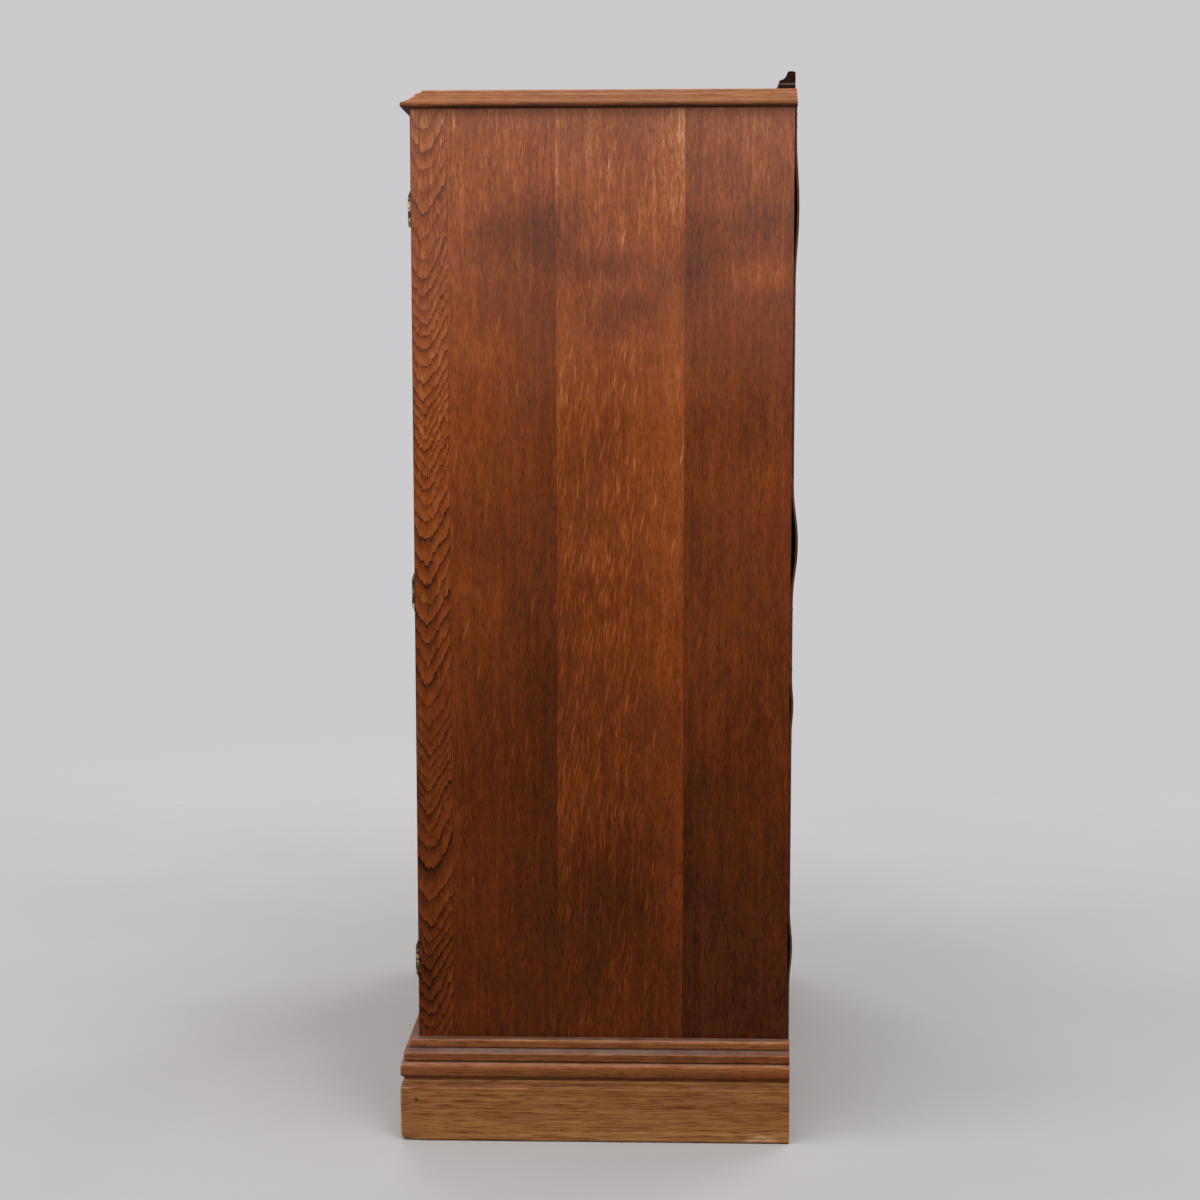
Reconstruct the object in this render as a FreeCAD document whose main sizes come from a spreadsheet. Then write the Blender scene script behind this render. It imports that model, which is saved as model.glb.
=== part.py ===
import FreeCAD, Part
import math
import os
import re
import sys

import Sketcher
from FreeCAD import Placement, Rotation, Vector

# Linen press in oak: a carcass with a moulded top and base, two framed doors, four shelves.
# Millimetres. +Z is up, the doors face -Y, the origin is on the floor under the middle of the press.

# ---------------------------------------------------------------- driving dimensions
sizes = {
    # carcass
    "carcassWidth": 864,  # outside of one side panel to outside of the other
    "sideDepth": 534,
    "sideThickness": 20,
    "topUnderside": 1473,
    "bottomBoardTop": 148.5,
    "bottomBoardThickness": 18,
    # moulded top
    "topThickness": 27,
    "topOverhang": 13,
    "noseHeight": 8.6,
    "noseRadius": 3.8,
    "hollowRun": 20.4,  # from the nose back to the bead of the top's edge
    "hollowRise": 12.9,
    "hollowRadius": 46,
    "beadRun": 5.7,
    "beadRise": 2.2,
    "lipRun": 2.2,  # last step up to the flat of the top
    # upstand along the back of the top
    "upstandHeight": 24,
    "upstandDepth": 23.5,
    "upstandBackGap": 1.5,  # in from the back of the top
    "upstandEndInset": 20,  # in from the outside of the side panel
    "upstandHeadDepth": 11.7,
    "upstandToe": 7.5,
    "upstandToeRadius": 5,
    "upstandHollowRadius": 14,
    "upstandHeadRadius": 3.5,
    # top and base rails
    "frontTopRailHeight": 29,
    "frontTopRailDepth": 60,
    "rearTopRailHeight": 50,
    "railThickness": 20,
    "baseRailFoot": 30,
    # back panel and its bows between the nails
    "backThickness": 3,
    "backFoot": 100,
    "upperBowDrop": 140,  # centre of the upper bow, down from the top's underside
    "upperBowHalf": 105,
    "upperBowOut": 4.2,
    "middleBowHeight": 868,
    "middleBowHalf": 84,
    "middleBowOut": 6.5,
    "lowBowHeight": 636,
    "lowBowHalf": 42,
    "lowBowOut": 2.2,
    "footBowHeight": 284,
    "footBowHalf": 56,
    "footBowOut": 3.6,
    "nailHeadRadius": 2.2,
    "nailHeadThickness": 0.8,
    "nailRadius": 0.8,
    "nailLength": 15,
    "nailInset": 10,
    # plinth and base moulding
    "plinthProjection": 25.5,
    "plinthFaceHeight": 79,
    "plinthHeight": 93.5,
    "plinthNeck": 20.4,  # projection of the plinth above its hollow
    "plinthHollowRadius": 9,
    "plinthEase": 2,  # lower corner worn round
    "torusHeight": 23,
    "torusRadius": 6,
    "quirkProjection": 18.5,
    "quirkHeight": 1.5,
    "filletProjection": 21.2,
    "filletRise": 14,
    "filletEase": 1.5,
    "capSlope": 5,
    "capProjection": 14.5,
    "capRadius": 4,
    "glueBlockSize": 40,
    # shelves
    "shelfCount": 4,
    "shelfThickness": 16,
    "shelfSetback": 50,
    "bearerHeight": 20,
    "bearerThickness": 14,
    "bearerBackGap": 12,
    # doors
    "doorThickness": 22,
    "doorGap": 2,  # around each door
    "meetingGap": 3,
    "stileWidth": 58,
    "doorTopRail": 62,
    "doorMiddleRail": 70,
    "doorMiddleHeight": 796,  # centre of the middle rail and of the middle hinge
    "doorBottomRail": 90,
    "tenonThickness": 7,
    "tenonLength": 34,
    "tenonShoulder": 9,
    "grooveDepth": 9,
    "grooveWidth": 6,
    "panelPlay": 1.5,  # left around each panel in its groove
    "fieldMargin": 34,
    "fieldRise": 5,
    "stopLength": 40,
    "stopHeight": 12,
    "stopThickness": 10,
    "stopGap": 0.3,
    "stopOffset": 70,
    # hinges
    "hingeInset": 107,  # centres of the outer hinges, in from the ends of the door
    "hingeLeafHeight": 36,
    "hingeLeafWidth": 18,
    "hingeLeafThickness": 1.8,
    "knuckleRadius": 4,
    "pinRadius": 1.6,
    "pinClearance": 0.05,
    "pinForward": 2.4,  # hinge axis in front of the carcass front
    "knuckleGap": 0.3,
    "knuckleRoom": 0.5,  # clearance of the notch around the knuckles
    "tipLength": 9.5,
    "tipRadius": 3.4,
    "tipShoulder": 3.8,  # length of the full width of a tip
    "tipNeckRadius": 1.4,
    "tipNeckPlace": 3,  # from the end of the tip
    "tipBallRadius": 1.7,
    "tipBallPlace": 1,
    "screwRadius": 1.5,
    "screwHeadRadius": 3,
    "screwLength": 13,
    "screwSpacing": 22,
    "screwInset": 10,  # from the front of the press
    # knobs
    "knobRise": 20,  # knob's centre above the lock bolt's
    "knobRadius": 11,
    "knobReach": 25,
    "knobPlateRadius": 10,
    "knobPlateThickness": 2,
    "knobNeckRadius": 4.5,
    "knobShankRadius": 3,
    "knobShankLength": 15,
    "knobNeckLength": 8,
    "knobPlateRise": 1.5,
    "knobRimRise": 7,
    "knobUnderRadius": 9,
    "knobFaceRadius": 13,
    "knobTipRadius": 2,  # small flat in the middle of the knob's face
    # lock and key
    "lockRise": 21,  # lock bolt's centre above the middle rail
    "lockCaseWidth": 46,
    "lockCaseHeight": 56,
    "lockCaseDepth": 12,
    "lockWall": 1.6,
    "lockEdgeInset": 2,
    "boltWidth": 14,  # lock bolt, up and down
    "boltThickness": 6,
    "boltClearance": 0.25,
    "boltRest": 0.5,  # end of the drawn bolt, in from the edge of the case
    "boltBlockLength": 26,
    "keyDrop": 18,  # key axis below the bolt
    "keyShankRadius": 2.4,
    "keyHoleClearance": 0.6,
    "keyReach": 34,  # bow's front beyond the door's face
    "keyBowRadius": 11,
    "keyBowThickness": 3,
    "keyBowWidth": 4,
    "keyBitHeight": 8.5,
    "keyBitThickness": 2.2,
    "keyBitWidth": 5,
    "keyTip": 1,  # shank beyond the bit
    "escutcheonWidth": 20,
    "escutcheonHeight": 34,
    "escutcheonThickness": 1.5,
    "strikeWidth": 16,
    "strikeHeight": 32,
    "strikeEdgeInset": 0.5,
    "strikeRoom": 0.8,
    # bolts of the left door
    "slideWidth": 9,
    "slideThickness": 4,
    "slideLength": 76,
    "slideTravel": 12,
    "slideClearance": 0.2,
    "slideTopGap": 1,
    "slidePlateWidth": 20,
    "slidePlateLength": 66,
    "slidePlateThickness": 1.5,
    "slidePlateGap": 2,  # from the end of the door to the plate
    "guideLength": 9,
    "guideWall": 2.2,
    "slideKnobRadius": 3.5,
    "slideKnobReach": 9,
    "keeperWidth": 18,
    "keeperLength": 20,
    "keeperThickness": 1.2,
    "keeperRoom": 0.8,
}

# Places that follow from the driving dimensions, as formulas of them and of each other.
places = {
    "halfWidth": "carcassWidth / 2",
    "inside": "halfWidth - sideThickness",
    "depthAll": "sideDepth + backThickness + middleBowOut",
    "front": "(keyReach - depthAll) / 2",  # front edges of the sides and face of the doors
    "rear": "front + sideDepth",
    "back": "rear + backThickness",
    "topFace": "topUnderside + topThickness",
    "bottomBoardUnderside": "bottomBoardTop - bottomBoardThickness",
    "frontTopRailUnderside": "topUnderside - frontTopRailHeight",
    # doors
    "doorBack": "front + doorThickness",
    "doorFoot": "bottomBoardTop + doorGap",
    "doorHead": "frontTopRailUnderside - doorGap",
    "doorOuter": "inside - doorGap",
    "doorInner": "meetingGap / 2",
    "stileInner": "doorInner + stileWidth",
    "stileOuter": "doorOuter - stileWidth",
    "middleRailFoot": "doorMiddleHeight - doorMiddleRail / 2",
    "middleRailHead": "doorMiddleHeight + doorMiddleRail / 2",
    "topRailFoot": "doorHead - doorTopRail",
    "bottomRailHead": "doorFoot + doorBottomRail",
    "grooveFront": "front + (doorThickness - grooveWidth) / 2",
    "grooveBack": "grooveFront + grooveWidth",
    "tenonFront": "front + (doorThickness - tenonThickness) / 2",
    "tenonBack": "tenonFront + tenonThickness",
    "upperBowHeight": "topUnderside - upperBowDrop",
    "lockHeight": "middleRailHead + lockRise",
    "knobHeight": "lockHeight + knobRise",
    # hinge axis
    "axisX": "inside - doorGap / 2",
    "axisY": "front - pinForward",
    "hingeLength": "hingeLeafHeight + 2 * tipLength",
    # base moulding, as heights
    "torusTop": "plinthHeight + torusHeight",
    "filletTop": "torusTop + filletRise",
    # left door's bolts and right door's lock
    "slideX": "doorInner + stileWidth / 2",
    "slideFront": "doorBack + slidePlateThickness + slideClearance",
    "slideBack": "slideFront + slideThickness",
    "boltFront": "doorBack + lockWall + boltClearance",
    "boltBack": "boltFront + boltThickness",
    "keyHeight": "lockHeight - keyDrop",
    "keyX": "doorInner + lockEdgeInset + lockCaseWidth / 2",
    "caseInner": "doorInner + lockEdgeInset",
    "caseOuter": "caseInner + lockCaseWidth",
    "caseFoot": "lockHeight - lockCaseHeight + boltWidth",
    "caseHead": "lockHeight + boltWidth",
    "caseBack": "doorBack + lockCaseDepth",
}

# Height, half length and depth of each bow of the back, from the lowest up.
bows = [
    ("footBowHeight", "footBowHalf", "footBowOut"),
    ("lowBowHeight", "lowBowHalf", "lowBowOut"),
    ("middleBowHeight", "middleBowHalf", "middleBowOut"),
    ("upperBowHeight", "upperBowHalf", "upperBowOut"),
]

margin = 5  # how far a cutter reaches past the wood
least_cut = 1  # cubic millimetres that a pocket has to take away

doc = FreeCAD.newDocument("LinenPress")
sheet = doc.addObject("Spreadsheet::Sheet", "Sizes")
for row, (alias, number) in enumerate(sizes.items(), start=1):
    sheet.set(f"A{row}", alias)
    sheet.set(f"B{row}", str(number))
    sheet.setAlias(f"B{row}", alias)
doc.recompute()

kept = {}  # node name -> document object


# ---------------------------------------------------------------- formulas
def formula(text):
    """A text of size and place names as an expression on the sheet's cells."""

    def swap(match):
        word = match.group(0)
        if word in places:
            return "(" + formula(places[word]) + ")"
        return "Sizes." + word if word in sizes else word

    return re.sub(r"[A-Za-z_]\w*", swap, str(text))


def number(text):
    return float(sheet.evalExpression(formula(text)))


def bind(thing, prop, text):
    thing.setExpression(prop, formula(text))


def minus(text):
    return f"-({text})"


def across(side, low, high):
    """A range of X on the right (side 1) or mirrored to the left (side -1)."""
    return (low, high) if side > 0 else (minus(high), minus(low))


def keep(name, thing):
    thing.Label = name
    kept[name] = thing
    return thing


# ---------------------------------------------------------------- primitives
def box(name, x, y, z):
    """A board between two formulas on each axis."""
    thing = doc.addObject("Part::Box", name)
    for axis, prop, (low, high) in zip("xyz", ("Length", "Width", "Height"), (x, y, z)):
        bind(thing, prop, f"({high}) - ({low})")
        bind(thing, f"Placement.Base.{axis}", low)
    return thing


turns = {
    "+x": Rotation(Vector(0, 1, 0), 90),
    "-x": Rotation(Vector(0, 1, 0), -90),
    "+y": Rotation(Vector(1, 0, 0), -90),
    "-y": Rotation(Vector(1, 0, 0), 90),
    "+z": Rotation(),
}


def put(thing, way, at):
    """Turns a thing so that its own Z runs the given way, with its foot at a point of formulas."""
    thing.Placement = Placement(Vector(), turns[way])
    for axis, text in zip("xyz", at):
        bind(thing, f"Placement.Base.{axis}", text)
    return thing


def rod(name, way, at, radius, length):
    thing = put(doc.addObject("Part::Cylinder", name), way, at)
    bind(thing, "Radius", radius)
    bind(thing, "Height", length)
    return thing


def cone(name, way, at, radius, end_radius, length):
    thing = put(doc.addObject("Part::Cone", name), way, at)
    bind(thing, "Radius1", radius)
    bind(thing, "Radius2", end_radius)
    bind(thing, "Height", length)
    return thing


def fuse(name, things):
    joined = doc.addObject("Part::MultiFuse", name)
    joined.Shapes = things
    return joined


def cut(name, base, tools):
    carved = doc.addObject("Part::Cut", name)
    carved.Base = base
    carved.Tool = tools[0] if len(tools) == 1 else fuse(name + "_cutters", tools)
    return carved


def group(name, things):
    """Separate solids that share one node."""
    gathered = doc.addObject("Part::Compound", name)
    gathered.Links = things
    return gathered


# ---------------------------------------------------------------- sketched bodies
def origin_plane(body, role):
    return [plane for plane in body.Origin.OriginFeatures if plane.Role == role][0]


def draw(sketch, outline):
    """Closes an outline of steps: (u, v) for a straight edge to a point, and (u, v, radius, side) for an
    arc to it, whose centre lies to the left (1) or the right (-1) of the way there."""
    points = [(number(step[0]), number(step[1])) for step in outline]
    ends = []
    for index, step in enumerate(outline):
        start, end = points[index - 1], points[index]
        if len(step) == 2:
            line = Part.LineSegment(Vector(*start, 0), Vector(*end, 0))
            ends.append((sketch.addGeometry(line), 1, 2))
            continue
        radius, side = number(step[2]), step[3]
        chord = Vector(end[0] - start[0], end[1] - start[1], 0)
        rise = math.sqrt(max(radius**2 - (chord.Length / 2) ** 2, 0))
        left = Vector(-chord.y, chord.x, 0).normalize()
        centre = Vector(*start, 0) + chord * 0.5 + left * (rise * side)
        first, last = (start, end) if side > 0 else (end, start)
        angles = [math.atan2(p[1] - centre.y, p[0] - centre.x) for p in (first, last)]
        arc = Part.ArcOfCircle(Part.Circle(centre, Vector(0, 0, 1), radius), *angles)
        ends.append((sketch.addGeometry(arc), *((1, 2) if side > 0 else (2, 1))))
    for index, step in enumerate(outline):
        edge, _, tail = ends[index]
        following, head, _ = ends[(index + 1) % len(ends)]
        sketch.addConstraint(Sketcher.Constraint("Coincident", edge, tail, following, head))
        for kind, text, value in zip(("DistanceX", "DistanceY"), step, points[index]):
            made = sketch.addConstraint(Sketcher.Constraint(kind, -1, 1, edge, tail, value))
            bind(sketch, f"Constraints[{made}]", text)
        if len(step) == 4:
            made = sketch.addConstraint(Sketcher.Constraint("Radius", edge, number(step[2])))
            bind(sketch, f"Constraints[{made}]", step[2])


def sketch_on(body, plane, outlines, offset):
    sketch = body.newObject("Sketcher::SketchObject", body.Name + "_outline")
    sketch.AttachmentSupport = [(origin_plane(body, plane + "_Plane"), "")]
    sketch.MapMode = "FlatFace"
    bind(sketch, "AttachmentOffset.Base.z", offset)
    for outline in outlines:
        draw(sketch, outline)
    return sketch


def pad(name, plane, outline, low, high):
    """A body from an outline on the XY, XZ or YZ plane, which runs from low to high across it."""
    body = doc.addObject("PartDesign::Body", name)
    offset = minus(high) if plane == "XZ" else low  # the XZ plane faces -Y
    feature = body.newObject("PartDesign::Pad", name + "_pad")
    feature.Profile = sketch_on(body, plane, [outline], offset)
    bind(feature, "Length", f"({high}) - ({low})")
    body.Tip = feature
    return body


def pocket(body, plane, outlines, low, high):
    """Takes outlines out of a body between low and high, and checks that material went."""
    doc.recompute()
    before = body.Shape.Volume
    offset = minus(low) if plane == "XZ" else high
    feature = body.newObject("PartDesign::Pocket", body.Name + "_pocket")
    feature.Profile = sketch_on(body, plane, outlines, offset)
    bind(feature, "Length", f"({high}) - ({low})")
    body.Tip = feature
    doc.recompute()
    if body.Shape.Volume > before - least_cut:
        sys.exit(f"{body.Name}: the pocket took nothing away")
    return body


def turned(name, outline, way, at):
    """A turned body: an outline of (radius, length) about its own Z, put at a point."""
    body = doc.addObject("PartDesign::Body", name)
    feature = body.newObject("PartDesign::Revolution", name + "_turning")
    sketch = sketch_on(body, "XZ", [outline], "0")
    feature.Profile = sketch
    feature.ReferenceAxis = (sketch, ["V_Axis"])
    feature.Angle = 360
    body.Tip = feature
    return put(body, way, at)


# ---------------------------------------------------------------- hinges
def hinge_heights():
    return ["doorFoot + hingeInset", "doorMiddleHeight", "doorHead - hingeInset"]


def screw(name, way, at):
    """A countersunk wood screw whose head lies in the leaf."""
    head = cone(name + "_head", way, at, "screwHeadRadius", "screwRadius", "hingeLeafThickness")
    shank = rod(name + "_shank", way, at, "screwRadius", "screwLength")
    return fuse(name, [head, shank])


def hinge_screws(name, way, x):
    """Two screws through one leaf of each hinge."""
    made = []
    for count, height in enumerate(hinge_heights(), start=1):
        for step in (-1, 1):
            at = (x, "front + screwInset", f"{height} + ({step}) * screwSpacing / 2")
            place = "lower" if step < 0 else "upper"
            made.append(screw(f"{name}_{count}_{place}", way, at))
    return made


def hinge_leaf(name, side, x, height, segments, screws):
    """A leaf let into the wood, with its share of the knuckles around the pin."""
    foot = f"{height} - hingeLeafHeight / 2"
    plate_y = ("axisY", "front + hingeLeafWidth")
    plate = box(name + "_plate", across(side, *x), plate_y, (foot, f"{foot} + hingeLeafHeight"))
    axis_x = f"{side} * (axisX)"
    knuckles = []
    for count, (low, high) in enumerate(segments, start=1):
        at = (axis_x, "axisY", f"{foot} + {low}")
        knuckles.append(rod(f"{name}_knuckle_{count}", "+z", at, "knuckleRadius", f"({high}) - ({low})"))
    bore_radius = "pinRadius + pinClearance"
    bore = rod(name + "_bore", "+z", (axis_x, "axisY", foot), bore_radius, "hingeLeafHeight")
    # the leaf's plate makes way for the other leaf's knuckles
    third = "hingeLeafHeight / 3"
    others = [("0", third), (f"2 * {third}", "hingeLeafHeight")]
    if len(segments) == 2:
        others = [(third, f"2 * {third}")]
    rooms = []
    for count, (low, high) in enumerate(others, start=1):
        at = (axis_x, "axisY", f"{foot} + {low} - knuckleGap / 2")
        length = f"({high}) - ({low}) + knuckleGap"
        rooms.append(rod(f"{name}_room_{count}", "+z", at, "knuckleRadius + knuckleRoom", length))
    return cut(name, fuse(name + "_whole", [plate, *knuckles]), [bore, *rooms, *screws])


def hinges(side, word):
    """The three hinges of one door: leaves on the carcass, leaves on the door, pins and screws."""
    third = "hingeLeafHeight / 3"
    lower = ("0", f"{third} - knuckleGap / 2")
    middle = (f"{third} + knuckleGap / 2", f"2 * {third} - knuckleGap / 2")
    upper = (f"2 * {third} + knuckleGap / 2", "hingeLeafHeight")
    outward, inward = ("+x", "-x") if side > 0 else ("-x", "+x")
    carcass_screws = hinge_screws(f"{word}_carcass_screw", outward, f"{side} * (inside)")
    door_screws = hinge_screws(f"{word}_door_screw", inward, f"{side} * (doorOuter)")
    carcass_x = ("inside", "inside + hingeLeafThickness")
    door_x = ("doorOuter - hingeLeafThickness", "doorOuter")
    carcass_leaves, door_leaves, pins = [], [], []
    for count, height in enumerate(hinge_heights(), start=1):
        pair = slice(2 * count - 2, 2 * count)
        name = f"{word}_carcass_leaf_{count}"
        outer = hinge_leaf(name, side, carcass_x, height, [lower, upper], carcass_screws[pair])
        carcass_leaves.append(outer)
        name = f"{word}_door_leaf_{count}"
        door_leaves.append(hinge_leaf(name, side, door_x, height, [middle], door_screws[pair]))
        pins.append(hinge_pin(f"{word}_pin_{count}", side, height))
    keep(f"{word}_hinge_carcass_leaves", group(f"{word}_hinge_carcass_leaves", carcass_leaves))
    keep(f"{word}_hinge_door_leaves", group(f"{word}_hinge_door_leaves", door_leaves))
    keep(f"{word}_hinge_pins", group(f"{word}_hinge_pins", pins))
    return carcass_leaves, carcass_screws, door_leaves, door_screws


def hinge_pin(name, side, height):
    """A pin through the knuckles with a turned tip at each end."""
    shoulder = "hingeLeafHeight / 2 + knuckleGap"
    end = "(hingeLeafHeight / 2 + tipLength)"
    lower = [
        ("0", f"-{end}"),
        ("tipBallRadius", f"tipBallPlace - {end}"),
        ("tipNeckRadius", f"tipNeckPlace - {end}"),
        ("tipRadius", f"tipLength - tipShoulder - {end}"),
        ("tipRadius", f"-({shoulder})"),
        ("pinRadius", f"-({shoulder})"),
    ]
    outline = lower + [(radius, minus(length)) for radius, length in reversed(lower)]
    return turned(name, outline, "+z", (f"{side} * (axisX)", "axisY", height))


def knuckle_notches(name, side):
    """Room for the knuckles and their tips in the wood beside them."""
    made = []
    length = "hingeLength + 2 * knuckleRoom"
    for count, height in enumerate(hinge_heights(), start=1):
        at = (f"{side} * (axisX)", "axisY", f"{height} - hingeLength / 2 - knuckleRoom")
        made.append(rod(f"{name}_{count}", "+z", at, "knuckleRadius + knuckleRoom", length))
    return made


# ---------------------------------------------------------------- carcass
def side_panel(side, word, fittings):
    """One end of the press, from the floor to the top, cut for its hinges, screws and nails."""
    name = f"{word}_side_panel"
    x = across(side, "inside", "halfWidth")
    blank = box(name + "_blank", x, ("front", "rear"), ("0", "topUnderside"))
    keep(name, cut(name, blank, [*fittings, *knuckle_notches(f"{word}_side_notch", side)]))


def top_edge(place, flip):
    """The moulded edge of the top from its underside up; place turns (outwards, upwards) into u and v."""
    radius = "noseRadius"
    return [
        place(f"topOverhang - {radius}", "0"),
        (*place("topOverhang", radius), radius, flip),
        place("topOverhang", f"noseHeight - {radius}"),
        (*place(f"topOverhang - {radius}", "noseHeight"), radius, flip),
        (*place("topOverhang - hollowRun", "noseHeight + hollowRise"), "hollowRadius", -flip),
        place("topOverhang - hollowRun - beadRun", "noseHeight + hollowRise + beadRise"),
        place("topOverhang - hollowRun - beadRun - lipRun", "topThickness"),
    ]


def moulded_top():
    across_front = top_edge(lambda out, up: (f"front - ({out})", f"topUnderside + {up}"), -1)
    outline = [("back", "topFace"), ("back", "topUnderside"), *across_front]
    reach = "halfWidth + topOverhang"
    body = pad("moulded_top", "YZ", outline, minus(reach), reach)
    # both ends are cut back to the same edge
    ends = []
    for side in (1, -1):
        edge = top_edge(lambda out, up: (f"{side} * (halfWidth + {out})", f"topUnderside + {up}"), side)
        beyond = f"{side} * (halfWidth + topOverhang + {margin})"
        over, under = f"topFace + {margin}", f"topUnderside - {margin}"
        ends.append([(beyond, over), (beyond, under), (edge[0][0], under), *edge, (edge[-1][0], over)])
    keep("moulded_top", pocket(body, "XZ", ends, f"front - topOverhang - {margin}", f"back + {margin}"))


def rear_upstand():
    def place(forward, up):
        return (f"back - upstandBackGap - ({forward})", f"topFace + {up}")

    hollow_foot = place("upstandDepth - upstandToeRadius", "upstandToe + upstandToeRadius")
    outline = [
        place("0", "0"),
        place("0", "upstandHeight - upstandHeadRadius"),
        (*place("upstandHeadRadius", "upstandHeight"), "upstandHeadRadius", 1),
        place("upstandHeadDepth - upstandHeadRadius", "upstandHeight"),
        (*place("upstandHeadDepth", "upstandHeight - upstandHeadRadius"), "upstandHeadRadius", 1),
        (*hollow_foot, "upstandHollowRadius", -1),
        (*place("upstandDepth", "upstandToe"), "upstandToeRadius", 1),
        place("upstandDepth", "0"),
    ]
    end = "halfWidth - upstandEndInset"
    keep("rear_upstand", pad("rear_upstand", "YZ", outline, minus(end), end))


def frame_rails(upper_ways, lower_ways, rows):
    """The bottom board and the rails between the two side panels, at the top and behind the plinth."""
    between = (minus("inside"), "inside")
    at_front = ("front", "front + railThickness")
    at_rear = ("rear - railThickness", "rear")
    top_height = ("topUnderside - rearTopRailHeight", "topUnderside")
    base_height = ("baseRailFoot", "bottomBoardUnderside")
    front_rail = box("front_top_rail_blank", between, ("front", "front + frontTopRailDepth"),
                     ("frontTopRailUnderside", "topUnderside"))
    keep("front_top_rail", cut("front_top_rail", front_rail, upper_ways))
    rear_rail = box("rear_top_rail_blank", between, at_rear, top_height)
    keep("rear_top_rail", cut("rear_top_rail", rear_rail, rows["top"]))
    board_height = ("bottomBoardUnderside", "bottomBoardTop")
    board = box("bottom_board_blank", between, ("front", "rear"), board_height)
    keep("bottom_board", cut("bottom_board", board, lower_ways))
    keep("front_base_rail", box("front_base_rail", between, at_front, base_height))
    rear_base = box("rear_base_rail_blank", between, at_rear, base_height)
    keep("rear_base_rail", cut("rear_base_rail", rear_base, rows["base"]))


def back_panel(nails):
    """The thin back: flat where it is nailed, and bowed out between the nails at four heights."""

    def face(start, way):
        steps = []
        for height, half, out in bows[::way]:
            # shoulders and crown of a bow share one radius, so that it runs smoothly
            radius = f"(({half})^2 + ({out})^2) / (4 * {out})"
            low, high = [f"{height} {sign} {way} * {half}" for sign in "-+"]
            mid_low, mid_high = [f"{height} {sign} {way} * {half} / 2" for sign in "-+"]
            steps.append((start, low))
            steps.append((f"{start} + {out} / 2", mid_low, radius, -way))
            steps.append((f"{start} + {out} / 2", mid_high, radius, way))
            steps.append((start, high, radius, -way))
        return steps

    outline = [
        ("rear", "backFoot"),
        ("back", "backFoot"),
        *face("back", 1),
        ("back", "topUnderside"),
        ("rear", "topUnderside"),
        *face("rear", -1),
    ]
    sheet_of_wood = pad("back_panel_sheet", "YZ", outline, minus("halfWidth"), "halfWidth")
    keep("back_panel", cut("back_panel", sheet_of_wood, nails))


def nail(name, x, height):
    """A nail through the back into the wood behind it, with its flat head on the back."""
    head = rod(name + "_head", "+y", (x, "back", height), "nailHeadRadius", "nailHeadThickness")
    shank_foot = (x, "back + nailHeadThickness / 2", height)
    shank = rod(name + "_shank", "-y", shank_foot, "nailRadius", "nailLength")
    return fuse(name, [head, shank])


def back_nails():
    """Nails beside each bow and near the corners, then a row along the top and base rails."""
    heights = ["backFoot + nailInset", "topUnderside - nailInset"]
    for height, half, _ in bows:
        heights += [f"{height} - {half} - nailInset", f"{height} + {half} + nailInset"]
    edges = {}
    for side, word in ((1, "right"), (-1, "left")):
        x = f"{side} * (halfWidth - sideThickness / 2)"
        numbered = enumerate(heights, start=1)
        edges[word] = [nail(f"{word}_nail_{count}", x, height) for count, height in numbered]
    rows = {}
    for word, height in (("top", "topUnderside - nailInset"), ("base", "backFoot + nailInset")):
        places_across = enumerate(("-inside / 2", "0", "inside / 2"), start=1)
        rows[word] = [nail(f"{word}_nail_{count}", x, height) for count, x in places_across]
    every = edges["right"] + edges["left"] + rows["top"] + rows["base"]
    keep("back_nails", group("back_nails", every))
    return edges, rows, every


# ---------------------------------------------------------------- plinth and base moulding
def plinth_edge(place, flip):
    """Section of the plinth board from the carcass face outwards and up to its hollow."""
    return [
        place("0", "0"),
        place("plinthProjection - plinthEase", "0"),
        place("plinthProjection", "plinthEase"),
        place("plinthProjection", "plinthFaceHeight"),
        (*place("plinthNeck", "(plinthFaceHeight + plinthHeight) / 2"), "plinthHollowRadius", -flip),
        place("plinthNeck", "plinthHeight"),
        place("0", "plinthHeight"),
    ]


def moulding_edge(place, flip):
    """Section of the base moulding: torus, quirk, fillet, slope and rounded cap."""
    bead = "filletProjection - quirkProjection"
    bead_foot = "torusTop + quirkHeight"
    return [
        place("0", "plinthHeight"),
        place("plinthProjection - torusRadius", "plinthHeight"),
        (*place("plinthProjection", "plinthHeight + torusRadius"), "torusRadius", flip),
        place("plinthProjection", "torusTop - torusRadius"),
        (*place("plinthProjection - torusRadius", "torusTop"), "torusRadius", flip),
        place("quirkProjection", "torusTop"),
        place("quirkProjection", bead_foot),
        (*place("filletProjection", f"{bead_foot} + {bead}"), bead, flip),
        place("filletProjection", "filletTop - filletEase"),
        place("filletProjection - filletEase", "filletTop"),
        place("capProjection", "filletTop + capSlope"),
        place("capProjection", "bottomBoardTop - capRadius"),
        (*place("capProjection - capRadius", "bottomBoardTop"), "capRadius", flip),
        place("0", "bottomBoardTop"),
    ]


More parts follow.
